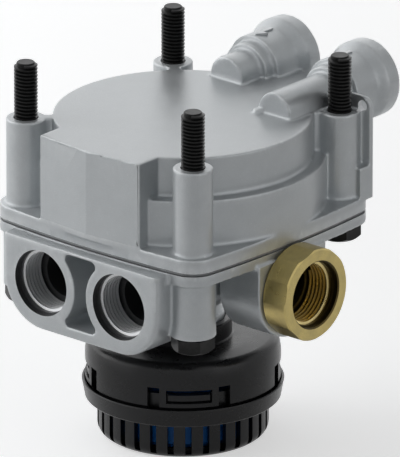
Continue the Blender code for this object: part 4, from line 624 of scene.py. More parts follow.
def make_spring_tree():
    """A compression spring of round wire whose end turns lie close together."""
    length = "NodeSocketFloat"
    inputs = [("Coil Radius", length, SPRING_RADIUS), ("Wire Radius", length, SPRING_WIRE)]
    inputs += [("Foot", length, SPRING_FOOT_Z), ("Height", length, 0.0)]
    inputs += [("Turns", length, SPRING_TURNS), ("End Flatness", length, 0.8)]
    inputs += [("Material", "NodeSocketMaterial", None)]
    tree, given, result = new_group(
        "coil_spring", "GeometryNodeTree", inputs, [("Spring", "NodeSocketGeometry")]
    )
    radius = given["Coil Radius"]
    coil = add_node(
        tree,
        "GeometryNodeCurveSpiral",
        {
            "Resolution": THREAD_FACETS,
            "Rotations": given["Turns"],
            "Start Radius": radius,
            "End Radius": radius,
            "Height": 0.0,
        },
    )
    share = add_node(tree, "GeometryNodeSplineParameter").outputs["Factor"]
    swing = math_node(tree, "SINE", math_node(tree, "MULTIPLY", share, math.tau))
    flattened = math_node(tree, "MULTIPLY", swing, given["End Flatness"])
    eased = math_node(tree, "SUBTRACT", share, math_node(tree, "DIVIDE", flattened, math.tau))
    height = math_node(tree, "MULTIPLY_ADD", eased, given["Height"], given["Foot"])
    lift = add_node(tree, "ShaderNodeCombineXYZ", {"Z": height}).outputs[0]
    raised = add_node(
        tree, "GeometryNodeSetPosition", {"Geometry": coil.outputs[0], "Offset": lift}
    ).outputs[0]
    wire = add_node(
        tree,
        "GeometryNodeCurvePrimitiveCircle",
        {"Resolution": 12, "Radius": given["Wire Radius"]},
    ).outputs[0]
    spring = add_node(
        tree,
        "GeometryNodeCurveToMesh",
        {"Curve": raised, "Profile Curve": wire, "Fill Caps": True},
    )
    finish_tree(tree, spring.outputs[0], given["Material"], result)
    return tree


def make_slot_tree():
    """Cuts a ring of upright slots through a wall."""
    length = "NodeSocketFloat"
    inputs = [("Wall", "NodeSocketGeometry", None), ("Slots", "NodeSocketInt", CAGE_SLOTS)]
    inputs += [("Slot Width", length, CAGE_SLOT_WIDTH), ("Inner Radius", length, 0.0)]
    inputs += [("Outer Radius", length, 0.0), ("Foot", length, 0.0), ("Top", length, 0.0)]
    inputs += [("Start Angle", length, 0.0), ("Material", "NodeSocketMaterial", None)]
    tree, given, result = new_group(
        "slotted_wall", "GeometryNodeTree", inputs, [("Wall", "NodeSocketGeometry")]
    )
    inner, outer = given["Inner Radius"], given["Outer Radius"]
    foot, top = given["Foot"], given["Top"]
    size = add_node(
        tree,
        "ShaderNodeCombineXYZ",
        {
            "X": math_node(tree, "SUBTRACT", outer, inner),
            "Y": given["Slot Width"],
            "Z": math_node(tree, "SUBTRACT", top, foot),
        },
    ).outputs[0]
    blade = add_node(tree, "GeometryNodeMeshCube", {"Size": size}).outputs[0]
    reach = math_node(tree, "MULTIPLY", math_node(tree, "ADD", inner, outer), 0.5)
    middle = math_node(tree, "MULTIPLY", math_node(tree, "ADD", foot, top), 0.5)
    places = add_node(
        tree, "GeometryNodeMeshCircle", {"Vertices": given["Slots"], "Radius": reach}
    ).outputs[0]
    step = math_node(tree, "DIVIDE", math.tau, given["Slots"])
    number = add_node(tree, "GeometryNodeInputIndex").outputs[0]
    heading = math_node(
        tree, "ADD", math_node(tree, "MULTIPLY", number, step), given["Start Angle"]
    )
    spot = add_node(
        tree,
        "ShaderNodeCombineXYZ",
        {
            "X": math_node(tree, "MULTIPLY", reach, math_node(tree, "COSINE", heading)),
            "Y": math_node(tree, "MULTIPLY", reach, math_node(tree, "SINE", heading)),
            "Z": middle,
        },
    ).outputs[0]
    placed = add_node(
        tree, "GeometryNodeSetPosition", {"Geometry": places, "Position": spot}
    ).outputs[0]
    turn = add_node(tree, "ShaderNodeCombineXYZ", {"Z": heading}).outputs[0]
    rotation = add_node(tree, "FunctionNodeEulerToRotation", {"Euler": turn}).outputs[0]
    blades = add_node(
        tree,
        "GeometryNodeInstanceOnPoints",
        {"Points": placed, "Instance": blade, "Rotation": rotation},
    ).outputs[0]
    sawn = add_node(
        tree,
        "GeometryNodeMeshBoolean",
        {"Mesh 1": given["Wall"]},
        operation="DIFFERENCE",
        solver="EXACT",
    )
    tree.links.new(blades, sawn.inputs["Mesh 2"])
    finish_tree(tree, sawn.outputs[0], given["Material"], result)
    return tree


# Finishes


def make_cast_grain_group():
    """Fine blasted grain with a slow mottle, as die castings have after shot blasting."""
    number = "NodeSocketFloat"
    inputs = [("Vector", "NodeSocketVector", None), ("Grain Size", number, 0.55 * MM)]
    inputs += [("Pits", number, 0.5), ("Mottle Size", number, 9.0 * MM)]
    outputs = [("Height", number), ("Mottle", number), ("Specks", number)]
    tree, given, result = new_group("cast_grain", "ShaderNodeTree", inputs, outputs)
    pitch = math_node(tree, "DIVIDE", 1.0, given["Grain Size"])
    coarse = add_node(
        tree,
        "ShaderNodeTexNoise",
        {"Vector": given["Vector"], "Scale": pitch, "Detail": 3.0, "Roughness": 0.6},
    ).outputs[0]
    pits = add_node(
        tree,
        "ShaderNodeTexVoronoi",
        {"Vector": given["Vector"], "Scale": math_node(tree, "MULTIPLY", pitch, 0.8)},
        feature="SMOOTH_F1",
    ).outputs[0]
    dented = math_node(tree, "MULTIPLY", pits, given["Pits"])
    tree.links.new(math_node(tree, "ADD", coarse, dented), result["Height"])
    mottle = add_node(
        tree,
        "ShaderNodeTexNoise",
        {
            "Vector": given["Vector"],
            "Scale": math_node(tree, "DIVIDE", 1.0, given["Mottle Size"]),
            "Detail": 5.0,
            "Roughness": 0.62,
        },
    ).outputs[0]
    tree.links.new(mottle, result["Mottle"])
    specks = add_node(
        tree,
        "ShaderNodeTexNoise",
        {"Vector": given["Vector"], "Scale": math_node(tree, "MULTIPLY", pitch, 1.7)},
    ).outputs[0]
    sharp = add_node(
        tree,
        "ShaderNodeMapRange",
        {"Value": specks, "From Min": 0.62, "From Max": 0.74},
    ).outputs[0]
    tree.links.new(sharp, result["Specks"])
    return tree


def make_tool_marks_group():
    """Rings that a turning tool leaves round an axis, the local Z of the given vector."""
    number = "NodeSocketFloat"
    inputs = [("Vector", "NodeSocketVector", None), ("Feed", number, 0.25 * MM)]
    inputs += [("Waviness", number, 0.4)]
    outputs = [("Height", number), ("Streaks", number)]
    tree, given, result = new_group("tool_marks", "ShaderNodeTree", inputs, outputs)
    split = add_node(tree, "ShaderNodeSeparateXYZ", {"Vector": given["Vector"]}).outputs
    flat = add_node(tree, "ShaderNodeCombineXYZ", {"X": split[0], "Y": split[1]}).outputs[0]
    radius = add_node(
        tree, "ShaderNodeVectorMath", {0: flat}, operation="LENGTH"
    ).outputs["Value"]
    path = math_node(tree, "ADD", radius, split[2])
    turns = math_node(tree, "DIVIDE", path, given["Feed"])
    ridge = math_node(tree, "SINE", math_node(tree, "MULTIPLY", turns, math.tau))
    band = add_node(tree, "ShaderNodeCombineXYZ", {"X": turns}).outputs[0]
    streak = add_node(
        tree, "ShaderNodeTexNoise", {"Vector": band, "Scale": 0.7, "Detail": 4.0}
    ).outputs[0]
    wave = math_node(tree, "MULTIPLY", streak, given["Waviness"])
    tree.links.new(math_node(tree, "ADD", math_node(tree, "MULTIPLY", ridge, 0.2), wave), result[0])
    tree.links.new(streak, result[1])
    return tree


def make_edge_highlight_group():
    """Mask of the outer edges, broken up by noise, that lays a painted highlight along them."""
    number = "NodeSocketFloat"
    inputs = [("Vector", "NodeSocketVector", None), ("Start", number, 0.52), ("End", number, 0.62)]
    inputs += [("Patch Size", number, 3.0 * MM)]
    tree, given, result = new_group("edge_highlight", "ShaderNodeTree", inputs, [("Mask", number)])
    bend = add_node(tree, "ShaderNodeNewGeometry").outputs["Pointiness"]
    patch = add_node(
        tree,
        "ShaderNodeTexNoise",
        {
            "Vector": given["Vector"],
            "Scale": math_node(tree, "DIVIDE", 1.0, given["Patch Size"]),
            "Detail": 4.0,
        },
    ).outputs[0]
    edge = add_node(
        tree,
        "ShaderNodeMapRange",
        {"Value": bend, "From Min": given["Start"], "From Max": given["End"]},
    ).outputs[0]
    tree.links.new(math_node(tree, "MULTIPLY", edge, patch, clamp=True), result["Mask"])
    return tree


cast_grain = make_cast_grain_group()
tool_marks = make_tool_marks_group()
edge_highlight = make_edge_highlight_group()


class Finish:
    """A material being built: its tree, its shader and the object's own coordinates."""

    def __init__(self, name, roughness, metallic=0.0, specular=0.5):
        self.material = bpy.data.materials.new(name)
        self.material.use_nodes = True
        self.tree = self.material.node_tree
        self.shader = self.tree.nodes["Principled BSDF"]
        self.shader.inputs["Roughness"].default_value = roughness
        self.shader.inputs["Metallic"].default_value = metallic
        self.shader.inputs["Specular IOR Level"].default_value = specular
        self.where = add_node(self.tree, "ShaderNodeTexCoord").outputs["Object"]

    def group(self, tree, **values):
        """Place a shared group with its own values and return its outputs."""
        step = add_node(self.tree, "ShaderNodeGroup", node_tree=tree)
        self.tree.links.new(values.pop("vector", self.where), step.inputs["Vector"])
        for label, value in values.items():
            step.inputs[label.replace("_", " ").title()].default_value = value
        return step.outputs

    def centred(self, point, direction=(0, 0, 1)):
        """Coordinates about a point, turned so that their Z lies along a direction."""
        turn = along(direction).inverted().to_euler()
        shifted = add_node(
            self.tree,
            "ShaderNodeVectorMath",
            {0: self.where, 1: tuple(point)},
            operation="SUBTRACT",
        ).outputs[0]
        return add_node(
            self.tree, "ShaderNodeMapping", {"Vector": shifted, "Rotation": tuple(turn)}
        ).outputs[0]

    def blend(self, share, first, second):
        """Mix two colours, given as values or sockets."""
        mix = add_node(self.tree, "ShaderNodeMix", data_type="RGBA")
        for key, value in ((0, share), (6, first), (7, second)):
            if isinstance(value, bpy.types.NodeSocket):
                self.tree.links.new(value, mix.inputs[key])
            else:
                mix.inputs[key].default_value = (*value, 1.0) if key else value
        return mix.outputs[2]

    def spread(self, value, low, high, start=0.0, end=1.0):
        """Map a value from one range to another."""
        given = {"Value": value, "From Min": start, "From Max": end, "To Min": low, "To Max": high}
        return add_node(self.tree, "ShaderNodeMapRange", given).outputs[0]

    def colour(self, value):
        """Wire the base colour."""
        self.tree.links.new(value, self.shader.inputs["Base Color"])

    def roughness(self, value):
        """Wire the roughness."""
        self.tree.links.new(value, self.shader.inputs["Roughness"])

    def bump(self, height, depth, strength=1.0):
        """Raise the surface by a height; several calls stack up."""
        step = add_node(
            self.tree, "ShaderNodeBump", {"Height": height, "Distance": depth, "Strength": strength}
        )
        normal = self.shader.inputs["Normal"]
        if normal.links:
            self.tree.links.new(normal.links[0].from_socket, step.inputs["Normal"])
        self.tree.links.new(step.outputs[0], normal)


def make_cast_finish(name, pale, deep, speck_and_highlight):
    """Blasted die-cast aluminium, with a painted highlight along its edges."""
    finish = Finish(name, 0.34, metallic=0.26)
    grain = finish.group(cast_grain, grain_size=0.4 * MM, pits=0.6)
    tone = finish.blend(finish.spread(grain["Mottle"], 0.2, 0.8, 0.35, 0.65), deep, pale)
    tone = finish.blend(finish.spread(grain["Specks"], 0.0, 0.55), tone, speck_and_highlight)
    # The pointy edges take the pale third colour: a painted highlight.
    highlight = finish.group(edge_highlight, start=0.505, end=0.57)
    tone = finish.blend(highlight["Mask"], tone, speck_and_highlight)
    finish.colour(tone)
    finish.roughness(finish.spread(grain["Mottle"], 0.28, 0.38, 0.3, 0.7))
    finish.bump(grain["Height"], 0.06 * MM, 0.8)
    return finish.material


def make_machined_finish(name, dark, light, metallic):
    """Cut aluminium with the fine rings of the tool, in the colours given, which for bores and
    threads are painted shade and painted highlight.
    """
    finish = Finish(name, 0.34, metallic=metallic)
    marks = finish.group(tool_marks, vector=finish.centred((PORT_X[0], 0, PORT_Z), (0, -1, 0)))
    finish.colour(finish.blend(marks["Streaks"], dark, light))
    finish.roughness(finish.spread(marks["Streaks"], 0.30, 0.44))
    finish.bump(marks["Height"], 0.01 * MM, 0.4)
    return finish.material


def make_brass_finish(name, dark, light, stain):
    """Turned and milled brass, a little dull, in the colours given, which for its thread and bore
    are painted highlight and painted shade.
    """
    finish = Finish(name, 0.3, metallic=0.9)
    axis = finish.centred((0, 0, PORT_Z), (1, 0, 0))
    marks = finish.group(tool_marks, vector=axis, feed=0.2 * MM)
    grain = finish.group(cast_grain, grain_size=0.8 * MM, pits=0.0, mottle_size=5.0 * MM)
    tone = finish.blend(marks["Streaks"], dark, light)
    finish.colour(finish.blend(finish.spread(grain["Mottle"], 0, 0.6, 0.4, 0.7), tone, stain))
    finish.roughness(finish.spread(grain["Mottle"], 0.24, 0.40, 0.3, 0.7))
    finish.bump(marks["Height"], 0.008 * MM, 0.4)
    return finish.material


def make_black_steel_finish():
    """Screws with a black zinc coat and a painted highlight on the thread's crests and edges."""
    finish = Finish("black_steel", 0.36, metallic=0.3, specular=0.15)
    grain = finish.group(cast_grain, grain_size=0.35 * MM, pits=0.3, mottle_size=4.0 * MM)
    tone = finish.blend(grain["Mottle"], (0.005, 0.005, 0.005), (0.010, 0.010, 0.010))
    # The crests and edges are lightened to grey: a painted highlight.
    highlight = finish.group(edge_highlight, start=0.53, end=0.7, patch_size=1.5 * MM)
    finish.colour(finish.blend(highlight["Mask"], tone, (0.06, 0.06, 0.06)))
    finish.roughness(finish.spread(grain["Mottle"], 0.3, 0.42, 0.3, 0.7))
    finish.bump(grain["Height"], 0.02 * MM, 0.4)
    return finish.material


def make_moulded_finish(name, dark, light, roughness):
    """Moulded plastic or rubber: a fine tool texture under a slow change of gloss."""
    finish = Finish(name, roughness, specular=0.25)
    grain = finish.group(cast_grain, grain_size=0.5 * MM, pits=0.2, mottle_size=12.0 * MM)
    finish.colour(finish.blend(finish.spread(grain["Mottle"], 0, 1, 0.35, 0.65), dark, light))
    spread = (roughness - 0.06, roughness + 0.08)
    finish.roughness(finish.spread(grain["Mottle"], *spread, 0.3, 0.7))
    finish.bump(grain["Height"], 0.02 * MM, 0.5)
    return finish.material


def make_turned_alloy_finish(name, dark, light):
    """Pistons and other inner metal pieces, turned about the valve's axis."""
    finish = Finish(name, 0.32, metallic=0.85)
    marks = finish.group(tool_marks, feed=0.3 * MM)
    finish.colour(finish.blend(marks["Streaks"], dark, light))
    finish.roughness(finish.spread(marks["Streaks"], 0.26, 0.42))
    finish.bump(marks["Height"], 0.01 * MM, 0.4)
    return finish.material


# The third colour lightens the grain's specks and is also the painted edge highlight.
BODY_CAST = make_cast_finish(
    "cast_body", pale=(0.545, 0.57, 0.585), deep=(0.49, 0.515, 0.53), speck_and_highlight=(0.80, 0.82, 0.83)
)
COVER_CAST = make_cast_finish(
    "cast_cover", pale=(0.565, 0.59, 0.605), deep=(0.51, 0.535, 0.55), speck_and_highlight=(0.82, 0.84, 0.85)
)
MACHINED = make_machined_finish("machined_aluminium", (0.50, 0.51, 0.52), (0.62, 0.63, 0.64), 0.5)
# Near-black bore walls: painted shade inside the bores, not the metal's own colour.
BORE_SHADE = make_machined_finish("bore_painted_shade", (0.05, 0.051, 0.053), (0.12, 0.122, 0.125), 0.6)
# Pale thread ridges: a painted highlight on the tapped threads.
THREAD_HIGHLIGHT = make_machined_finish("thread_painted_highlight", (0.78, 0.79, 0.80), (0.88, 0.89, 0.90), 0.4)
BRASS = make_brass_finish(
    "turned_brass", dark=(0.40, 0.315, 0.115), light=(0.56, 0.45, 0.18), stain=(0.33, 0.27, 0.12)
)
# Pale brass for the thread: a painted highlight.
BRASS_THREAD_HIGHLIGHT = make_brass_finish(
    "brass_thread_painted_highlight", dark=(0.70, 0.56, 0.24), light=(0.85, 0.70, 0.34), stain=(0.6, 0.48, 0.2)
)
# Near-black brass for the bore: painted shade.
BRASS_BORE_SHADE = make_brass_finish(
    "brass_bore_painted_shade", dark=(0.05, 0.036, 0.012), light=(0.09, 0.068, 0.024), stain=(0.04, 0.03, 0.012)
)
BLACK_STEEL = make_black_steel_finish()
SILENCER = make_moulded_finish(
    "silencer_plastic", (0.004, 0.004, 0.0045), (0.008, 0.008, 0.009), 0.28
)
INSERT_BLUE = make_moulded_finish("insert_blue", (0.004, 0.16, 0.58), (0.006, 0.20, 0.68), 0.4)
RIVET = make_moulded_finish("rivet_plastic", (0.20, 0.21, 0.22), (0.28, 0.29, 0.30), 0.45)
GASKET = make_moulded_finish("gasket", (0.30, 0.31, 0.32), (0.42, 0.43, 0.44), 0.7)
RUBBER = make_moulded_finish("seal_rubber", (0.012, 0.012, 0.012), (0.022, 0.022, 0.022), 0.6)
VALVE_PLASTIC = make_moulded_finish("valve_plastic", (0.05, 0.05, 0.055), (0.08, 0.08, 0.085), 0.5)
PISTON_ALLOY = make_turned_alloy_finish("piston_alloy", (0.48, 0.50, 0.52), (0.62, 0.63, 0.64))
SPRING_STEEL = make_turned_alloy_finish("spring_steel", (0.40, 0.40, 0.41), (0.55, 0.55, 0.56))

skin_tree = make_skin_tree()
thread_tree = make_thread_tree()
spring_tree = make_spring_tree()
slot_tree = make_slot_tree()


# Castings


def screw_places():
    """The four screw axes, as name and position."""
    for side_y, fore in ((-1, "front"), (1, "rear")):
        for side_x, side in ((-1, "left"), (1, "right")):
            yield f"{fore}_{side}", side_x * BOLT_OFFSET, side_y * BOLT_OFFSET


def flange_outline(corner_steps=20, side_steps=24):
    """Square with corners rounded about the screws and slightly bowed sides."""
    points = []
    for quarter in range(4):
        heading = quarter * math.pi / 2
        turn = Matrix.Rotation(heading, 2)
        corner = turn @ Vector((BOLT_OFFSET, BOLT_OFFSET))
        points += arc(corner, FLANGE_CORNER_RADIUS, heading, heading + math.pi / 2, corner_steps)
        for i in range(1, side_steps):
            share = 2 * i / side_steps - 1
            bow = FLANGE_BOW * (1 - share**2)
            side = Vector((-share * BOLT_OFFSET, BOLT_OFFSET + FLANGE_CORNER_RADIUS + bow))
            points.append(tuple(turn @ side))
    return points


def wall_matrix(back_y):
    """Places an XY plate upright: its X stays, its Y becomes Z and it grows towards -Y."""
    return Matrix.Translation((0, back_y, 0)) @ Matrix.Rotation(math.pi / 2, 4, "X")


def plate_between(name, outline, foot, top):
    """A plate of one outline between two heights."""
    return outline_plate(name, [outline], top - foot, Matrix.Translation((0, 0, foot)))


def cast(name, pattern, material):
    """Give a sharp pattern its casting skin."""
    values = {
        "Voxel Size": SKIN_VOXEL,
        "Fillet Radius": SKIN_FILLET,
        "Edge Radius": SKIN_EDGE,
        "Adaptivity": SKIN_ADAPTIVITY,
        "Material": material,
    }
    return grown(name, skin_tree, values, base=pattern)


def machined(tools):
    """Cutters carry the finish that they leave; one without a finish leaves bare metal."""
    return [tool if tool.data.materials else coat(tool, MACHINED) for tool in tools]


def tube_matrix(index):
    """Lays a turned shape on a control tube's axis, its height along +Y."""
    return Matrix.Translation((TUBE_X[index], 0, TUBE_AXIS_Z)) @ along((0, 1, 0))


def make_tube(index):
    """Stepped and flared control tube."""
    front = TUBE_FRONT_Y[index]
    mouth = TUBE_MOUTH_Y + FACING_ALLOWANCE
    profile = [
        (0.0, mouth),
        (TUBE_RIM_RADIUS, mouth),
        (TUBE_RIM_RADIUS, TUBE_RIM_Y),
        (TUBE_BARREL_RADIUS, TUBE_FLARE_Y),
        (TUBE_BARREL_RADIUS, TUBE_BARREL_Y),
        (TUBE_STEP_RADIUS, TUBE_BARREL_Y),
        (TUBE_STEP_RADIUS, TUBE_STEP_Y),
        (TUBE_FRONT_RADIUS, TUBE_STEP_Y),
        (TUBE_FRONT_RADIUS, front),
        (0.0, front),
    ]
    return turned(f"tube_{index}", profile, TUBE_FACETS, tube_matrix(index))


def make_flow_arrow(index):
    """Plain raised arrow on a barrel, pointing inwards."""
    line, wing = ARROW_LINE / 2, ARROW_HEAD_HALF_WIDTH
    tail = ARROW_LENGTH / 2
    tip = -tail
    neck = tip + ARROW_HEAD
    outline = [(0.0, tip), (wing, neck), (line, neck), (line, tail)]
    outline += [(-line, tail), (-line, neck), (-wing, neck)]
    depth = ARROW_RISE + MM
    middle = (TUBE_BARREL_Y + TUBE_FLARE_Y) / 2
    top = TUBE_AXIS_Z + TUBE_BARREL_RADIUS + ARROW_RISE
    place = Matrix.Translation((TUBE_X[index], middle, top - depth))
    return outline_plate(f"flow_arrow_{index}", [outline], depth, place)


def tube_bore(index):
    """Threaded mouth of a control tube and the passage behind it."""
    end = CONTROL_DRILL_Y[index] - CONTROL_DRILL_RADIUS
    outside = TUBE_MOUTH_Y + OVERSHOOT
    thread_end = TUBE_MOUTH_Y - TUBE_THREAD_DEPTH
    profile = [
        (0.0, outside),
        (TUBE_ENTRY_RADIUS, outside),
        (TUBE_ENTRY_RADIUS, TUBE_MOUTH_Y - TUBE_ENTRY_DEPTH),
        (TUBE_THREAD_RADIUS, TUBE_MOUTH_Y - TUBE_ENTRY_DEPTH),
        (TUBE_THREAD_RADIUS, thread_end),
        (TUBE_BORE_RADIUS, thread_end - OVERSHOOT),
        (TUBE_BORE_RADIUS, end),
        (0.0, end),
    ]
    return turned(f"tube_bore_{index}", profile, BORE_FACETS, tube_matrix(index))


def make_cover_pattern():
    """Sharp pattern of the cover: drum, sleeves, webs, prow, ear plate and control tubes."""
    drum_foot = COVER_FLANGE_TOP_Z - 1.0 * MM
    drum = turned(
        "cover_looks",
        [
            (0.0, COVER_TOP_Z),
            (UPPER_DRUM_RADIUS, COVER_TOP_Z),
            (UPPER_DRUM_RADIUS, LEDGE_Z),
            (LOWER_DRUM_RADIUS, LEDGE_Z),
            (LOWER_DRUM_RADIUS, drum_foot),
            (0.0, drum_foot),
        ],
        DRUM_FACETS,
    )
    foot = COVER_FOOT_Z - FACING_ALLOWANCE
    prow = [
        (PROW_HALF_WIDTH, -UPPER_DRUM_RADIUS / 2),
        (-PROW_HALF_WIDTH, -UPPER_DRUM_RADIUS / 2),
        (-PROW_HALF_WIDTH, PROW_CORNER_Y),
        (0.0, PROW_RIDGE_Y),
        (PROW_HALF_WIDTH, PROW_CORNER_Y),
    ]
    pieces = [
        plate_between("cover_flange", flange_outline(), foot, COVER_FLANGE_TOP_Z),
        plate_between("prow", prow, COVER_FLANGE_TOP_Z - 1.5 * MM, COVER_TOP_Z),
        make_ear_plate(),
        box(
            "corner_block",
            (CORNER_BLOCK_LEFT_X, CORNER_BLOCK_FRONT_Y, COVER_FLANGE_TOP_Z - MM),
            (EAR_PLATE_RIGHT_X, EAR_PLATE_BACK_Y - 0.2 * MM, CORNER_BLOCK_TOP_Z),
        ),
        box(
            "tube_web",
            (TUBE_X[0], UPPER_DRUM_RADIUS / 2, COVER_TOP_Z - TUBE_WEB_HEIGHT),
            (TUBE_X[1], TUBE_WEB_BACK_Y, COVER_TOP_Z),
        ),
        make_tube(0),
        make_tube(1),
        cylinder(
            "corner_nub",
            CORNER_NUB_RADIUS,
            (*CORNER_NUB_PLACE, COVER_TOP_Z - MM),
            (*CORNER_NUB_PLACE, COVER_TOP_Z + CORNER_NUB_HEIGHT),
            HOLE_FACETS,
        ),
    ]
    for name, x, y in screw_places():
        foot = COVER_FLANGE_TOP_Z - MM
        sleeve = cylinder(
            "sleeve_" + name, SLEEVE_RADIUS, (x, y, foot), (x, y, COVER_TOP_Z), SLEEVE_FACETS
        )
        pieces += [sleeve, make_web(name, x, y)]
    return join(drum, *pieces)


def make_ear_plate():
    """Upright plate behind the drum with a raised ear at each end."""
    radius = EAR_CORNER_RADIUS
    notch_left = TUBE_X[0] - EAR_NOTCH_MARGIN
    notch_right = TUBE_X[1] + EAR_NOTCH_MARGIN
    base = TUBE_AXIS_Z - EAR_NOTCH_DROP
    foot = COVER_FLANGE_TOP_Z - MM
    top = EAR_PLATE_TOP_Z - radius
    outline = [(EAR_PLATE_LEFT_X, foot), (EAR_PLATE_RIGHT_X, foot)]
    outline += arc((EAR_PLATE_RIGHT_X - radius, top), radius, 0, math.pi / 2, 12)
    outline += [(notch_right, EAR_PLATE_TOP_Z), (notch_right, base)]
    outline += [(notch_left, base), (notch_left, EAR_PLATE_TOP_Z)]
    outline += arc((EAR_PLATE_LEFT_X + radius, top), radius, math.pi / 2, math.pi, 12)
    return outline_plate(
        "ear_plate", [outline], EAR_PLATE_THICKNESS, wall_matrix(EAR_PLATE_BACK_Y)
    )


def make_web(name, x, y):
    """Upright web between a screw sleeve and the upper drum."""
    half = WEB_THICKNESS / 2
    start = UPPER_DRUM_RADIUS - OVERSHOOT
    end = math.hypot(x, y)
    outline = [(start, -half), (end, -half), (end, half), (start, half)]
    foot = LEDGE_Z - MM
    place = Matrix.Translation((0, 0, foot)) @ Matrix.Rotation(math.atan2(y, x), 4, "Z")
    return outline_plate("web_" + name, [outline], COVER_TOP_Z - foot, place)


def cover_tools():
    """The facing cut of the joint, the piston bore, the tubes' mouths, passages and holes."""
    foot = COVER_FOOT_Z - OVERSHOOT
    reach = LOWER_DRUM_RADIUS + OVERSHOOT
    upper_roof = COVER_TOP_Z - COVER_ROOF
    lower_roof = LEDGE_Z - COVER_ROOF
    tools = [box("joint_facing", (-reach, -reach, foot), (reach, reach, COVER_FOOT_Z))]
    tools.append(
        turned(
            "piston_bore",
            [
                (0.0, STOP_Z),
                (STOP_RADIUS, STOP_Z),
                (STOP_RADIUS, upper_roof),
                (UPPER_BORE_RADIUS, upper_roof),
                (UPPER_BORE_RADIUS, lower_roof),
                (LOWER_BORE_RADIUS, lower_roof),
                (LOWER_BORE_RADIUS, foot),
                (0.0, foot),
            ],
            DRUM_FACETS,
        )
    )
    for i, x in enumerate(TUBE_X):
        half = TUBE_RIM_RADIUS + MM
        low = (x - half, TUBE_MOUTH_Y, TUBE_AXIS_Z - half)
        high = (x + half, TUBE_MOUTH_Y + OVERSHOOT, TUBE_AXIS_Z + half)
        drill_y = CONTROL_DRILL_Y[i]
        drill_foot = (upper_roof, lower_roof)[i] - MM
        drill = cylinder(
            f"control_drill_{i}",
            CONTROL_DRILL_RADIUS,
            (x, drill_y, TUBE_AXIS_Z),
            (x, drill_y, drill_foot),
            HOLE_FACETS,
        )
        # The tube's bore walls are painted dark as shade.
        tools += [box(f"mouth_facing_{i}", low, high), coat(tube_bore(i), BORE_SHADE), drill]
    ear_back = EAR_PLATE_BACK_Y + OVERSHOOT
    ear_front = EAR_PLATE_BACK_Y - EAR_PLATE_THICKNESS - OVERSHOOT
    tools.append(
        cylinder(
            "ear_hole",
            EAR_HOLE_RADIUS,
            (EAR_HOLE_X, ear_front, EAR_HOLE_Z),
            (EAR_HOLE_X, ear_back, EAR_HOLE_Z),
            HOLE_FACETS,
        )
    )
    top = COVER_TOP_Z + OVERSHOOT
    for name, x, y in screw_places():
        tools.append(
            cylinder("hole_" + name, BOLT_HOLE_RADIUS, (x, y, foot), (x, y, top), HOLE_FACETS)
        )
    return machined(tools)


def prow_planes():
    """Trims the prow's front to two true planes that meet in a ridge."""
    half = PROW_HALF_WIDTH + OVERSHOOT
    wing = PROW_TRIMMED_RIDGE_Y + PROW_SLOPE * half
    front = PROW_RIDGE_Y - OVERSHOOT
    outline = [(-half, wing), (0.0, PROW_TRIMMED_RIDGE_Y), (half, wing)]
    outline += [(half, front), (-half, front)]
    foot = COVER_FLANGE_TOP_Z + SKIN_FILLET
    tool = plate_between("prow_planes", outline, foot, COVER_TOP_Z + OVERSHOOT)
    return coat(tool, COVER_CAST)


def on_prow(face):
    """Whether a face lies in one of the prow's two planes."""
    return all(
        abs(vert.co.y - PROW_TRIMMED_RIDGE_Y - PROW_SLOPE * abs(vert.co.x)) < PROW_FLATNESS
        for vert in face.verts
    )


def shade_prow(cover):
    """Shade the prow's planes flat, inside a thin rim and sharp borders."""
    with edited(cover.data) as bm:
        fronts = {face: face.calc_center_median().x > 0 for face in bm.faces if on_prow(face)}
        for right in (False, True):
            plane = [face for face in fronts if fronts[face] == right]
            rim = bmesh.ops.inset_region(bm, faces=plane, thickness=PROW_RIM, use_even_offset=True)
            fronts.update((face, right) for face in rim["faces"])
        for face in fronts:
            face.smooth = False
        for edge in bm.edges:
            sides = {fronts.get(face) for face in edge.link_faces}
            if len(sides) > 1:
                edge.smooth = False


def make_cover():
    """The cover casting with its arrows, its trued prow and its machining."""
    cover = cast("cover_looks", make_cover_pattern(), COVER_CAST)
    join(cover, *(coat(make_flow_arrow(i), COVER_CAST) for i in range(len(TUBE_X))))
    cut(cover, prow_planes(), *cover_tools())
    finish_edges(cover)
    shade_prow(cover)
    return cover


def make_port_block():
    """The block that holds both delivery ports, with its front edge rounded."""
    left, right = PORT_X
    top = BODY_TOP_Z - PORT_BLOCK_DROP
    half = right + PORT_BLOCK_RADIUS
    outline = [(half, top), (-half, top)]
    outline += arc((left, PORT_Z), PORT_BLOCK_RADIUS, math.pi, 1.5 * math.pi, 24)
    outline += arc((right, PORT_Z), PORT_BLOCK_RADIUS, 1.5 * math.pi, math.tau, 24)
    depth = PORT_BLOCK_BACK_Y - PORT_BLOCK_FACE_Y
    block = outline_plate("port_block", [outline], depth, wall_matrix(PORT_BLOCK_BACK_Y))
    with edited(block.data) as bm:
        front = [
            edge
            for edge in bm.edges
            if all(vert.co.y < PORT_BLOCK_FACE_Y + NEAR for vert in edge.verts)
            and not all(vert.co.z > top - NEAR for vert in edge.verts)
            and any(face.normal.y > -0.5 for face in edge.link_faces)
        ]
        bmesh.ops.bevel(
            bm, geom=front, offset=PORT_BLOCK_ROUNDING, segments=6, profile=0.5, affect="EDGES"
        )
    return block


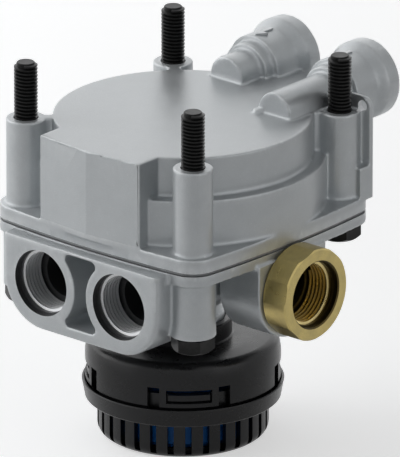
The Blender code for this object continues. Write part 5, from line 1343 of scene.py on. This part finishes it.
def make_pocket():
    """The waisted pocket between the two port rings."""
    corner = POCKET_CORNER_RADIUS
    reach = PORT_X[1] - POCKET_HALF_WIDTH
    swing = math.atan2(math.sqrt(POCKET_RING_RADIUS**2 - reach**2), reach)
    top = POCKET_TOP_Z - corner
    foot = POCKET_FOOT_Z + corner
    inner = POCKET_HALF_WIDTH - corner
    outline = arc((inner, top), corner, 0, math.pi / 2, 8)
    outline += arc((-inner, top), corner, math.pi / 2, math.pi, 8)
    outline += arc((PORT_X[0], PORT_Z), POCKET_RING_RADIUS, swing, -swing, 24)
    outline += arc((-inner, foot), corner, math.pi, 1.5 * math.pi, 8)
    outline += arc((inner, foot), corner, 1.5 * math.pi, math.tau, 8)
    outline += arc((PORT_X[1], PORT_Z), POCKET_RING_RADIUS, math.pi + swing, math.pi - swing, 24)
    place = wall_matrix(PORT_BLOCK_FACE_Y + POCKET_DEPTH)
    return outline_plate("pocket", [outline], POCKET_DEPTH + OVERSHOOT, place)


def make_supply_pad():
    """Round-bottomed pad on the +X side that the brass adapter screws into."""
    pad_top = BODY_FLANGE_FOOT_Z + MM
    outline = arc((0, PORT_Z), SUPPLY_PAD_RADIUS, math.pi, math.tau, 48)
    outline += [(SUPPLY_PAD_RADIUS, pad_top), (-SUPPLY_PAD_RADIUS, pad_top)]
    turn = Matrix.Rotation(math.pi / 2, 4, "Z") @ Matrix.Rotation(math.pi / 2, 4, "X")
    place = Matrix.Translation((SUPPLY_PAD_BACK_X, 0, 0)) @ turn
    return outline_plate("supply_pad", [outline], SUPPLY_PAD_FACE_X - SUPPLY_PAD_BACK_X, place)


def make_rib(name, x, y):
    """Casting rib under the flange, from the drum towards a rear screw."""
    inner = DELIVERY_DRUM_RADIUS - OVERSHOOT
    outer = math.hypot(x, y) - BOLT_HEAD_ACROSS_FLATS / 2 - RIB_TO_SCREW_HEAD
    top = BODY_FLANGE_FOOT_Z + MM
    outline = [(inner, DELIVERY_DRUM_FOOT_Z + RIB_FOOT_RISE), (outer, top - RIB_TIP_HEIGHT)]
    outline += [(outer, top), (inner, top)]
    turn = Matrix.Rotation(math.atan2(y, x), 4, "Z") @ Matrix.Rotation(math.pi / 2, 4, "X")
    place = turn @ Matrix.Translation((0, 0, -RIB_THICKNESS / 2))
    return outline_plate("rib_" + name, [outline], RIB_THICKNESS, place)


def make_body_pattern():
    """Sharp pattern of the body: flange, core, port block, supply pad, columns and ribs."""
    inside = BODY_FLANGE_FOOT_Z + MM
    core = turned(
        "body_looks",
        [
            (0.0, inside),
            (DELIVERY_DRUM_RADIUS, inside),
            (DELIVERY_DRUM_RADIUS, DELIVERY_DRUM_FOOT_Z),
            (CORE_RADIUS, DELIVERY_DRUM_FOOT_Z),
            (CORE_RADIUS, CORE_FOOT_Z),
            (SPIGOT_GROOVE_RADIUS, CORE_FOOT_Z),
            (SPIGOT_GROOVE_RADIUS, SPIGOT_GROOVE_FOOT_Z),
            (SPIGOT_RADIUS, SPIGOT_GROOVE_FOOT_Z),
            (SPIGOT_RADIUS, SPIGOT_FOOT_Z),
            (0.0, SPIGOT_FOOT_Z),
        ],
        TUBE_FACETS,
    )
    top = BODY_TOP_Z + FACING_ALLOWANCE
    pieces = [
        plate_between("body_flange", flange_outline(), BODY_FLANGE_FOOT_Z, top),
        make_port_block(),
        make_supply_pad(),
        cylinder(
            "supply_link",
            SUPPLY_LINK_RADIUS,
            (CORE_RADIUS / 2, 0, PORT_Z),
            (SUPPLY_PAD_BACK_X + OVERSHOOT, 0, PORT_Z),
            TUBE_FACETS,
        ),
    ]
    for i, x in enumerate(PORT_X):
        start = (x, PORT_BLOCK_BACK_Y - OVERSHOOT, PORT_Z)
        end = (x, BARREL_BACK_Y, PORT_Z)
        pieces.append(cylinder(f"barrel_{i}", BARREL_RADIUS, start, end, TUBE_FACETS))
    for name, x, y in screw_places():
        if y < 0:
            start = (x, y, COLUMN_FOOT_Z - FACING_ALLOWANCE)
            end = (x, y, BODY_FLANGE_FOOT_Z + MM)
            pieces.append(cylinder("column_" + name, COLUMN_RADIUS, start, end, SLEEVE_FACETS))
        else:
            pieces.append(make_rib(name, x, y))
    return cut(join(core, *pieces), make_pocket())


def body_tools():
    """The facing cuts, spot faces, ports, passages, main bore and screw holes."""
    top = BODY_TOP_Z + OVERSHOOT
    reach = LOWER_DRUM_RADIUS + 3 * OVERSHOOT
    tools = [box("joint_facing", (-reach, -reach, BODY_TOP_Z), (reach, reach, top))]
    tools.append(
        turned(
            "main_bore",
            [
                (0.0, top),
                (DELIVERY_BOWL_RADIUS, top),
                (DELIVERY_BOWL_RADIUS, DELIVERY_BOWL_FLOOR_Z),
                (INLET_SEAT_RADIUS, DELIVERY_BOWL_FLOOR_Z),
                (INLET_SEAT_RADIUS, SUPPLY_CHAMBER_ROOF_Z),
                (SUPPLY_CHAMBER_RADIUS, SUPPLY_CHAMBER_ROOF_Z),
                (SUPPLY_CHAMBER_RADIUS, SUPPLY_CHAMBER_FLOOR_Z),
                (VALVE_BORE_RADIUS, SUPPLY_CHAMBER_FLOOR_Z - VALVE_BORE_CHAMFER),
                (VALVE_BORE_RADIUS, SPIGOT_FOOT_Z - OVERSHOOT),
                (0.0, SPIGOT_FOOT_Z - OVERSHOOT),
            ],
            BORE_FACETS,
        )
    )
    for i, x in enumerate(PORT_X):
        mouth = Vector((x, PORT_BLOCK_FACE_Y, PORT_Z))
        inward = Vector((0, 1, 0))
        outside = mouth - inward * OVERSHOOT
        entry_end = mouth + inward * ENTRY_DEPTH
        thread_end = mouth + inward * THREAD_DEPTH
        bore_end = (x, PORT_BORE_END_Y, PORT_Z)
        drills = [
            cylinder(f"entry_{i}", ENTRY_RADIUS, outside, entry_end, BORE_FACETS),
            cylinder(f"tapped_{i}", THREAD_RADIUS, outside, thread_end, BORE_FACETS),
            cylinder(f"bore_{i}", PORT_BORE_RADIUS, outside, bore_end, BORE_FACETS),
            cylinder(
                f"riser_{i}",
                DELIVERY_RISER_RADIUS,
                (x, DELIVERY_RISER_Y, PORT_Z),
                (x, DELIVERY_RISER_Y, DELIVERY_BOWL_FLOOR_Z + MM),
                HOLE_FACETS,
            ),
        ]
        # The port drills leave painted shade on the walls they cut.
        tools += [coat(drill, BORE_SHADE) for drill in drills]
    outside = (SUPPLY_PAD_FACE_X + OVERSHOOT, 0, PORT_Z)
    socket_end = (SUPPLY_SOCKET_END_X, 0, PORT_Z)
    tools.append(cylinder("supply_socket", SUPPLY_SOCKET_RADIUS, socket_end, outside, BORE_FACETS))
    start = (INLET_SEAT_RADIUS, 0, SUPPLY_PASSAGE_Z)
    end = (SUPPLY_SOCKET_END_X + MM, 0, SUPPLY_PASSAGE_Z)
    tools.append(cylinder("supply_passage", SUPPLY_PASSAGE_RADIUS, start, end, HOLE_FACETS))
    for name, x, y in screw_places():
        foot = BODY_FLANGE_FOOT_Z
        if y < 0:
            foot = COLUMN_FOOT_Z
            start = (x, y, foot - 2 * OVERSHOOT)
            tools.append(
                cylinder("spot_face_" + name, SPOT_FACE_RADIUS, start, (x, y, foot), SLEEVE_FACETS)
            )
        start = (x, y, foot - OVERSHOOT)
        tools.append(cylinder("hole_" + name, BOLT_HOLE_RADIUS, start, (x, y, top), HOLE_FACETS))
    return machined(tools)


def make_body():
    """The body casting with its machining."""
    body = cast("body_looks", make_body_pattern(), BODY_CAST)
    cut(body, *body_tools())
    return finish_edges(body)


# Threads and screws


def make_coil(name, tree, place, values):
    """A thread or spring laid along an axis."""
    coil = grown(name, tree, values)
    with edited(coil.data) as bm:
        bmesh.ops.transform(bm, matrix=place, verts=bm.verts)
        bmesh.ops.recalc_face_normals(bm, faces=bm.faces)
    return finish_edges(coil)


def make_valve_spring():
    """Spring of the inlet valve, with its foot on the guide and its top under the valve."""
    values = {"Height": SPRING_TOP_Z - SPRING_FOOT_Z, "Material": SPRING_STEEL}
    return make_coil("valve_spring_looks", spring_tree, Matrix(), values)


def make_inside_thread(name, mouth, inward, entry, material, **values):
    """Inside thread that starts behind the entry of a mouth."""
    start = Vector(mouth) + Vector(inward) * (entry + THREAD_PITCH * 0.5)
    shape = {"Pitch": THREAD_PITCH, "Foot Share": 0.55, "Crest Share": 0.25}
    for label, value in values.items():
        shape[label.replace("_", " ").title()] = value
    place = Matrix.Translation(start) @ along(inward)
    return make_coil(name, thread_tree, place, {**shape, "Material": material})


def make_port_thread(name, mouth, inward, material):
    """Inside thread of an M22 x 1.5 port."""
    return make_inside_thread(
        name,
        mouth,
        inward,
        ENTRY_DEPTH,
        material,
        root_radius=THREAD_RADIUS + THREAD_SUNK,
        crest_radius=THREAD_CREST_RADIUS,
        turns=(THREAD_DEPTH - ENTRY_DEPTH - THREAD_PITCH) / THREAD_PITCH,
        facets=BORE_FACETS,
    )


def make_tube_thread(name, mouth, inward, material):
    """Inside thread of an M16 x 1.5 control tube."""
    return make_inside_thread(
        name,
        mouth,
        inward,
        TUBE_ENTRY_DEPTH,
        material,
        root_radius=TUBE_THREAD_RADIUS + THREAD_SUNK,
        crest_radius=TUBE_CREST_RADIUS,
        turns=TUBE_THREAD_TURNS,
        facets=SLEEVE_FACETS,
    )


def make_bolt(name, x, y):
    """Black hexagon screw: head with a turned-off top, plain shank and rolled thread."""
    seat = (COLUMN_FOOT_Z if y < 0 else BODY_FLANGE_FOOT_Z) - SEAT_GAP
    foot = seat - BOLT_HEAD_HEIGHT
    middle = foot + BOLT_HEAD_HEIGHT / 2
    corner = BOLT_HEAD_ACROSS_FLATS / math.sqrt(3)
    end_radius = BOLT_HEAD_ACROSS_FLATS * BOLT_HEAD_END_SHARE
    seat_radius = BOLT_HEAD_ACROSS_FLATS * BOLT_HEAD_SEAT_SHARE
    here = Matrix.Translation((x, y, 0))
    head = cylinder(
        "bolt_looks_" + name,
        corner,
        (x, y, foot),
        (x, y, seat - BOLT_SEAT_STEP),
        HEXAGON_FACETS,
    )
    rounding = turned(
        "head_rounding",
        [
            (0.0, seat),
            (corner + MM, seat),
            (corner + MM, foot + BOLT_HEAD_ROUNDING_SHARE * corner),
            (end_radius, foot - WELD_DISTANCE),
            (0.0, foot - WELD_DISTANCE),
        ],
        SLEEVE_FACETS,
        here,
    )
    combine(head, [rounding], "INTERSECT")
    shank = turned(
        "shank_" + name,
        [
            (0.0, BOLT_TOP_Z),
            (BOLT_ROOT_RADIUS - BOLT_ROOT_CHAMFER, BOLT_TOP_Z),
            (BOLT_ROOT_RADIUS, BOLT_TOP_Z - BOLT_ROOT_CHAMFER),
            (BOLT_ROOT_RADIUS, BOLT_THREAD_FOOT_Z),
            (BOLT_SHANK_RADIUS, BOLT_THREAD_FOOT_Z - BOLT_THREAD_RUNOUT),
            (BOLT_SHANK_RADIUS, seat),
            (seat_radius, seat),
            (seat_radius, middle),
            (0.0, middle),
        ],
        SLEEVE_FACETS,
        here,
    )
    join(head, shank)
    length = BOLT_TOP_Z - BOLT_TIP_CHAMFER - BOLT_THREAD_FOOT_Z
    values = {
        "Root Radius": BOLT_ROOT_RADIUS - THREAD_SUNK,
        "Crest Radius": BOLT_RADIUS,
        "Pitch": BOLT_PITCH,
        "Foot Share": 0.85,
        "Crest Share": 0.3,
        "Turns": length / BOLT_PITCH,
        "Facets": THREAD_FACETS,
        "Material": BLACK_STEEL,
    }
    place = Matrix.Translation((x, y, BOLT_THREAD_FOOT_Z))
    merge_into(head, make_coil("bolt_thread_" + name, thread_tree, place, values))
    coat(head, BLACK_STEEL)
    return finish_edges(head)


def merge_into(shape, *others):
    """Keep several closed shapes as one piece."""
    with edited(shape.data) as bm:
        for other in others:
            bm.from_mesh(other.data)
    drop(*others)
    return shape


def coat(shape, material):
    """Give a shape one material."""
    shape.data.materials.clear()
    shape.data.materials.append(material)
    return shape


def make_adapter():
    """Brass supply adapter: a turned-down hexagon on a hollow shank."""
    hexagon = cylinder(
        "supply_adapter_looks",
        ADAPTER_ACROSS_FLATS / math.sqrt(3),
        (ADAPTER_FACE_X, 0, PORT_Z),
        (ADAPTER_END_X, 0, PORT_Z),
        HEXAGON_FACETS,
    )
    centre = Matrix.Translation((0, 0, PORT_Z))
    spin = centre @ Matrix.Rotation(ADAPTER_TURN, 4, "X") @ centre.inverted()
    hexagon.data.transform(spin)
    lay = centre @ along((1, 0, 0))
    rounding = turned(
        "adapter_rounding",
        [
            (0.0, ADAPTER_END_X),
            (ADAPTER_CORNER_RADIUS - ADAPTER_CHAMFER, ADAPTER_END_X),
            (ADAPTER_CORNER_RADIUS, ADAPTER_END_X - ADAPTER_CHAMFER),
            (ADAPTER_CORNER_RADIUS, ADAPTER_FACE_X + ADAPTER_CHAMFER),
            (ADAPTER_CORNER_RADIUS - ADAPTER_CHAMFER, ADAPTER_FACE_X),
            (0.0, ADAPTER_FACE_X),
        ],
        DRUM_FACETS,
        lay,
    )
    combine(hexagon, [rounding], "INTERSECT")
    shank_end = ADAPTER_FACE_X - ADAPTER_SHANK_LENGTH
    shank = cylinder(
        "adapter_shank",
        ADAPTER_SHANK_RADIUS,
        (shank_end, 0, PORT_Z),
        (ADAPTER_FACE_X + MM, 0, PORT_Z),
        BORE_FACETS,
    )
    join(hexagon, shank)
    thread_end = ADAPTER_END_X - THREAD_DEPTH
    bore = [
        (0.0, ADAPTER_END_X + OVERSHOOT),
        (ENTRY_RADIUS + ADAPTER_ENTRY_CHAMFER, ADAPTER_END_X + OVERSHOOT),
        (ENTRY_RADIUS + ADAPTER_ENTRY_CHAMFER, ADAPTER_END_X),
        (ENTRY_RADIUS, ADAPTER_END_X - ADAPTER_ENTRY_CHAMFER),
        (ENTRY_RADIUS, ADAPTER_END_X - ENTRY_DEPTH),
        (THREAD_RADIUS, ADAPTER_END_X - ENTRY_DEPTH),
        (THREAD_RADIUS, thread_end),
        (PORT_BORE_RADIUS, thread_end),
        (PORT_BORE_RADIUS, shank_end - OVERSHOOT),
        (0.0, shank_end - OVERSHOOT),
    ]
    coat(hexagon, BRASS)
    # The bore's walls are painted dark as shade.
    cut(hexagon, coat(turned("adapter_bore", bore, BORE_FACETS, lay), BRASS_BORE_SHADE))
    soften(hexagon, ADAPTER_EDGE, ADAPTER_EDGE_ANGLE)
    return finish_edges(hexagon)


# Silencer


def sector(name, inner, outer, start, end, foot, top, steps=8):
    """A block bounded by two radii, two angles and two heights."""
    outline = arc((0, 0), outer, start, end, steps) + arc((0, 0), inner, end, start, steps)
    return plate_between(name, outline, foot, top)


def make_silencer_housing():
    """Upper half of the silencer: neck, shoulder and skirt with four windowed tabs."""
    inner_radius = HOUSING_RADIUS - HOUSING_WALL
    shoulder_z = HOUSING_SHOULDER_Z - SHOULDER_DROP
    roof = HOUSING_TOP_Z - HOUSING_ROOF
    profile = [
        (NECK_BORE_RADIUS, NECK_TOP_Z),
        (NECK_RADIUS - NECK_CHAMFER, NECK_TOP_Z),
        (NECK_RADIUS, NECK_TOP_Z - NECK_CHAMFER),
        (NECK_RADIUS, HOUSING_TOP_Z + NECK_FOOT_CHAMFER),
        (NECK_RADIUS + NECK_FOOT_CHAMFER, HOUSING_TOP_Z),
    ]
    profile += arc(SHOULDER_CENTRE, SHOULDER_ROUNDING, *SHOULDER_ANGLES, 12)
    profile += [
        (HOUSING_RADIUS, shoulder_z),
        (HOUSING_RADIUS, SKIRT_TOP_Z),
        (SKIRT_RADIUS, SKIRT_TOP_Z - SKIRT_STEP_HEIGHT),
        (SKIRT_RADIUS, HOUSING_FOOT_Z),
        (inner_radius, HOUSING_FOOT_Z),
        (inner_radius, shoulder_z),
        (HOUSING_SHOULDER_RADIUS - SHOULDER_INSIDE, roof),
        (NECK_LIP_RADIUS, roof),
        (NECK_LIP_RADIUS, SPIGOT_FOOT_Z - SEAT_GAP),
        (NECK_BORE_RADIUS, SPIGOT_FOOT_Z - SEAT_GAP),
    ]
    housing = turned("silencer_housing_looks", profile, DRUM_FACETS)
    tools = []
    inner, outer = inner_radius - MM, HOUSING_RADIUS + MM
    for i, heading in enumerate(TAB_DIRECTIONS):
        near, far = heading - TAB_WINDOW_HALF_ANGLE, heading + TAB_WINDOW_HALF_ANGLE
        heights = TAB_WINDOW_FOOT_Z, TAB_WINDOW_TOP_Z
        tools.append(sector(f"window_{i}", inner, outer, near, far, *heights))
        for side in (-1, 1):
            near, far = sorted(heading + side * angle for angle in TAB_SLOT_ANGLES)
            heights = HOUSING_FOOT_Z - MM, TAB_SLOT_TOP_Z
            tools.append(sector(f"tab_slot_{i}_{side}", inner, outer, near, far, *heights))
    cut(housing, *tools)
    coat(housing, SILENCER)
    soften(housing, MOULDING_EDGE, MOULDING_EDGE_ANGLE)
    return finish_edges(housing)


def soften(shape, width, angle):
    """Round a shape's edges a little."""
    bevel = shape.modifiers.new("edges", "BEVEL")
    bevel.width = width
    bevel.segments = 2
    bevel.limit_method = "ANGLE"
    bevel.angle_limit = angle


def make_silencer_cage():
    """Lower half of the silencer: slotted cage, flared collar and the ring with its latches."""
    floor = CAGE_WALL_TOP_Z
    seat = floor + COLLAR_FLOOR
    latch_inner = LATCH_RING_RADIUS - LATCH_RING_WALL
    rim_in, rim_down = COLLAR_RIM_CHAMFER
    base_radius = CAGE_RADIUS - CAGE_BASE_ROUNDING
    profile = [
        (LATCH_RING_RADIUS, LATCH_RING_TOP_Z),
        (LATCH_RING_RADIUS, seat),
        (COLLAR_BORE_RADIUS, seat),
        (COLLAR_BORE_RADIUS, COLLAR_RIM_Z - COLLAR_LIP_HEIGHT),
        (COLLAR_RIM_RADIUS - COLLAR_RIM_WALL, COLLAR_RIM_Z),
        (COLLAR_RIM_RADIUS - rim_in, COLLAR_RIM_Z),
        (COLLAR_RIM_RADIUS, COLLAR_RIM_Z - rim_down),
        (COLLAR_FOOT_RADIUS, floor + COLLAR_FOOT_CHAMFER),
        (COLLAR_FOOT_RADIUS - COLLAR_FOOT_CHAMFER, floor),
        (CAGE_RADIUS, floor),
    ]
    profile += arc((base_radius, CAGE_BASE_ROUNDING), CAGE_BASE_ROUNDING, 0.0, -math.pi / 2, 12)
    profile += [
        (RIVET_RADIUS + SEAT_GAP, 0.0),
        (RIVET_RADIUS + SEAT_GAP, CAGE_BASE_THICKNESS),
        (base_radius, CAGE_BASE_THICKNESS),
        (CAGE_RADIUS - CAGE_WALL, CAGE_BASE_ROUNDING),
        (CAGE_RADIUS - CAGE_WALL, floor),
        (latch_inner, seat),
        (latch_inner, LATCH_RING_TOP_Z),
    ]
    cage = turned("silencer_cage_looks", profile, DRUM_FACETS)
    latches = []
    for i, heading in enumerate(TAB_DIRECTIONS):
        radii = LATCH_RING_RADIUS - LATCH_RING_WALL / 2, LATCH_RING_RADIUS + LATCH_REACH
        angles = heading - LATCH_HALF_ANGLE, heading + LATCH_HALF_ANGLE
        heights = LATCH_Z, LATCH_Z + LATCH_HEIGHT
        latches.append(sector(f"latch_{i}", *radii, *angles, *heights))
    join(cage, *latches)
    values = {
        "Slots": CAGE_SLOTS,
        "Slot Width": CAGE_SLOT_WIDTH,
        "Inner Radius": CAGE_SLOT_INNER_RADIUS,
        "Outer Radius": CAGE_RADIUS + MM,
        "Foot": CAGE_SLOT_FOOT_Z,
        "Top": CAGE_SLOT_TOP_Z,
        "Start Angle": TAB_DIRECTIONS[-1],
        "Material": SILENCER,
    }
    grown("silencer_cage_looks", slot_tree, values, base=cage)
    return finish_edges(cage)


def make_silencer_insert():
    """Blue cup that shows through the cage's slots."""
    foot = CAGE_BASE_THICKNESS + SEAT_GAP
    wall = INSERT_WALL
    profile = [
        (INSERT_RADIUS, INSERT_TOP_Z),
        (INSERT_RADIUS, foot + INSERT_CHAMFER),
        (INSERT_RADIUS - INSERT_CHAMFER, foot),
        (RIVET_RADIUS + SEAT_GAP, foot),
        (RIVET_RADIUS + SEAT_GAP, foot + wall),
        (INSERT_RADIUS - INSERT_CHAMFER - wall / 2, foot + wall),
        (INSERT_RADIUS - wall, foot + wall + INSERT_CHAMFER / 2),
        (INSERT_RADIUS - wall, INSERT_TOP_Z),
    ]
    insert = turned("silencer_insert_looks", profile, DRUM_FACETS)
    coat(insert, INSERT_BLUE)
    return finish_edges(insert)


def keep(piece, slot, *nodes, body="housing"):
    """Hand a piece to the frame."""
    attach(piece, body)
    if nodes:
        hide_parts(*nodes)


keep(make_cover(), "cast_cover", "cover")
keep(make_body(), "cast_body", "body")
for bolt_name, bolt_x, bolt_y in screw_places():
    keep(make_bolt(bolt_name, bolt_x, bolt_y), "black_steel", "bolt_" + bolt_name)
keep(make_adapter(), "brass", "supply_adapter")
keep(make_silencer_housing(), "silencer_plastic", "silencer_housing")
keep(make_silencer_cage(), "silencer_plastic", "silencer_cage")
keep(make_silencer_insert(), "insert_blue", "silencer_insert")
valve_spring = make_valve_spring()
keep(valve_spring, "spring_steel", "valve_spring")
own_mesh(valve_spring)
# The threads' pale colours are painted highlights.
for i, port_x in enumerate(PORT_X):
    mouth = (port_x, PORT_BLOCK_FACE_Y, PORT_Z)
    keep(make_port_thread(f"delivery_thread_{i}", mouth, (0, 1, 0), THREAD_HIGHLIGHT), "cast_body")
mouth = (ADAPTER_END_X, 0, PORT_Z)
keep(make_port_thread("adapter_thread", mouth, (-1, 0, 0), BRASS_THREAD_HIGHLIGHT), "brass")
for i, tube_x in enumerate(TUBE_X):
    mouth = (tube_x, TUBE_MOUTH_Y, TUBE_AXIS_Z)
    keep(make_tube_thread(f"control_thread_{i}", mouth, (0, -1, 0), THREAD_HIGHLIGHT), "cast_cover")

CARRIED_OVER = {
    "flange_gasket": GASKET,
    "adapter_seal": RUBBER,
    "relay_piston": PISTON_ALLOY,
    "relay_piston_ring": RUBBER,
    "control_piston": PISTON_ALLOY,
    "control_piston_ring": RUBBER,
    "inlet_valve": VALVE_PLASTIC,
    "valve_seal": RUBBER,
    "valve_guide": VALVE_PLASTIC,
    "guide_ring": RUBBER,
    "stem_ring": RUBBER,
    "guide_clip": SPRING_STEEL,
    "silencer_rivet": RIVET,
}
for node_name, material in CARRIED_OVER.items():
    coat(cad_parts[node_name], material)


# Floor, light and camera


def seen_or_mirrored(tree):
    """1 for rays from the camera, from a mirror or through glass, and 0 for light."""
    rays = add_node(tree, "ShaderNodeLightPath").outputs
    seen = math_node(tree, "MAXIMUM", rays["Is Camera Ray"], rays["Is Glossy Ray"])
    return math_node(tree, "MAXIMUM", seen, rays["Is Transmission Ray"])


def make_floor():
    """Pale floor that shows as plain white and keeps the object's shadow."""
    mesh = bpy.data.meshes.new("floor")
    below = Matrix.Translation((0, 0, -FLOOR_GAP))
    with edited(mesh) as bm:
        bmesh.ops.create_grid(bm, x_segments=1, y_segments=1, size=FLOOR_HALF, matrix=below)
    finish = Finish("pale_floor", 0.9, specular=0.1)
    inputs = finish.shader.inputs
    inputs["Base Color"].default_value = (*FLOOR_COLOUR, 1.0)
    inputs["Emission Color"].default_value = (1.0, 1.0, 1.0, 1.0)
    lift = math_node(finish.tree, "MULTIPLY", seen_or_mirrored(finish.tree), FLOOR_LIFT)
    finish.tree.links.new(lift, inputs["Emission Strength"])
    floor = coat(link_shape("floor", mesh), finish.material)


def make_world():
    """White to the camera and in reflections, and a dim plain sky for the object."""
    world = bpy.data.worlds.new("studio")
    bpy.context.scene.world = world
    world.use_nodes = True
    tree = world.node_tree
    background = tree.nodes["Background"]
    background.inputs["Color"].default_value = (*SKY_COLOUR, 1.0)
    levels = {"Value": seen_or_mirrored(tree), "To Min": SKY_LEVEL, "To Max": 1.0}
    strength = add_node(tree, "ShaderNodeMapRange", levels).outputs[0]
    tree.links.new(strength, background.inputs["Strength"])


def put_round(name, data, azimuth, elevation, distance):
    """Put a lamp or camera round the object, facing it: azimuth 0 is -Y and 90 degrees +X."""
    shape = link_shape(name, data)
    flat = math.cos(elevation)
    outward = Vector((math.sin(azimuth) * flat, -math.cos(azimuth) * flat, math.sin(elevation)))
    shape.location = VIEW_CENTRE + outward * distance
    shape.rotation_euler = outward.to_track_quat("Z", "Y").to_euler()
    return shape


def make_lamp(name, azimuth, elevation, side, power):
    """A soft square lamp aimed at the object, with its angles in degrees."""
    lamp = bpy.data.lights.new(name, "AREA")
    lamp.size = side
    lamp.energy = power
    put_round(name, lamp, math.radians(azimuth), math.radians(elevation), LAMP_DISTANCE)


def make_camera():
    """Long lens at the photograph's angle."""
    lens = bpy.data.cameras.new("camera")
    lens.sensor_width = SENSOR
    lens.lens = SENSOR * CAMERA_DISTANCE / VIEW_HEIGHT
    lens.clip_start, lens.clip_end = CAMERA_CLIP
    camera = put_round("camera", lens, VIEW_AZIMUTH, VIEW_ELEVATION, CAMERA_DISTANCE)
    bpy.context.scene.camera = camera


make_floor()
make_world()
for lamp_name, settings in LAMPS.items():
    make_lamp(lamp_name, *settings)
make_camera()
bpy.context.scene.view_settings.view_transform = "Standard"
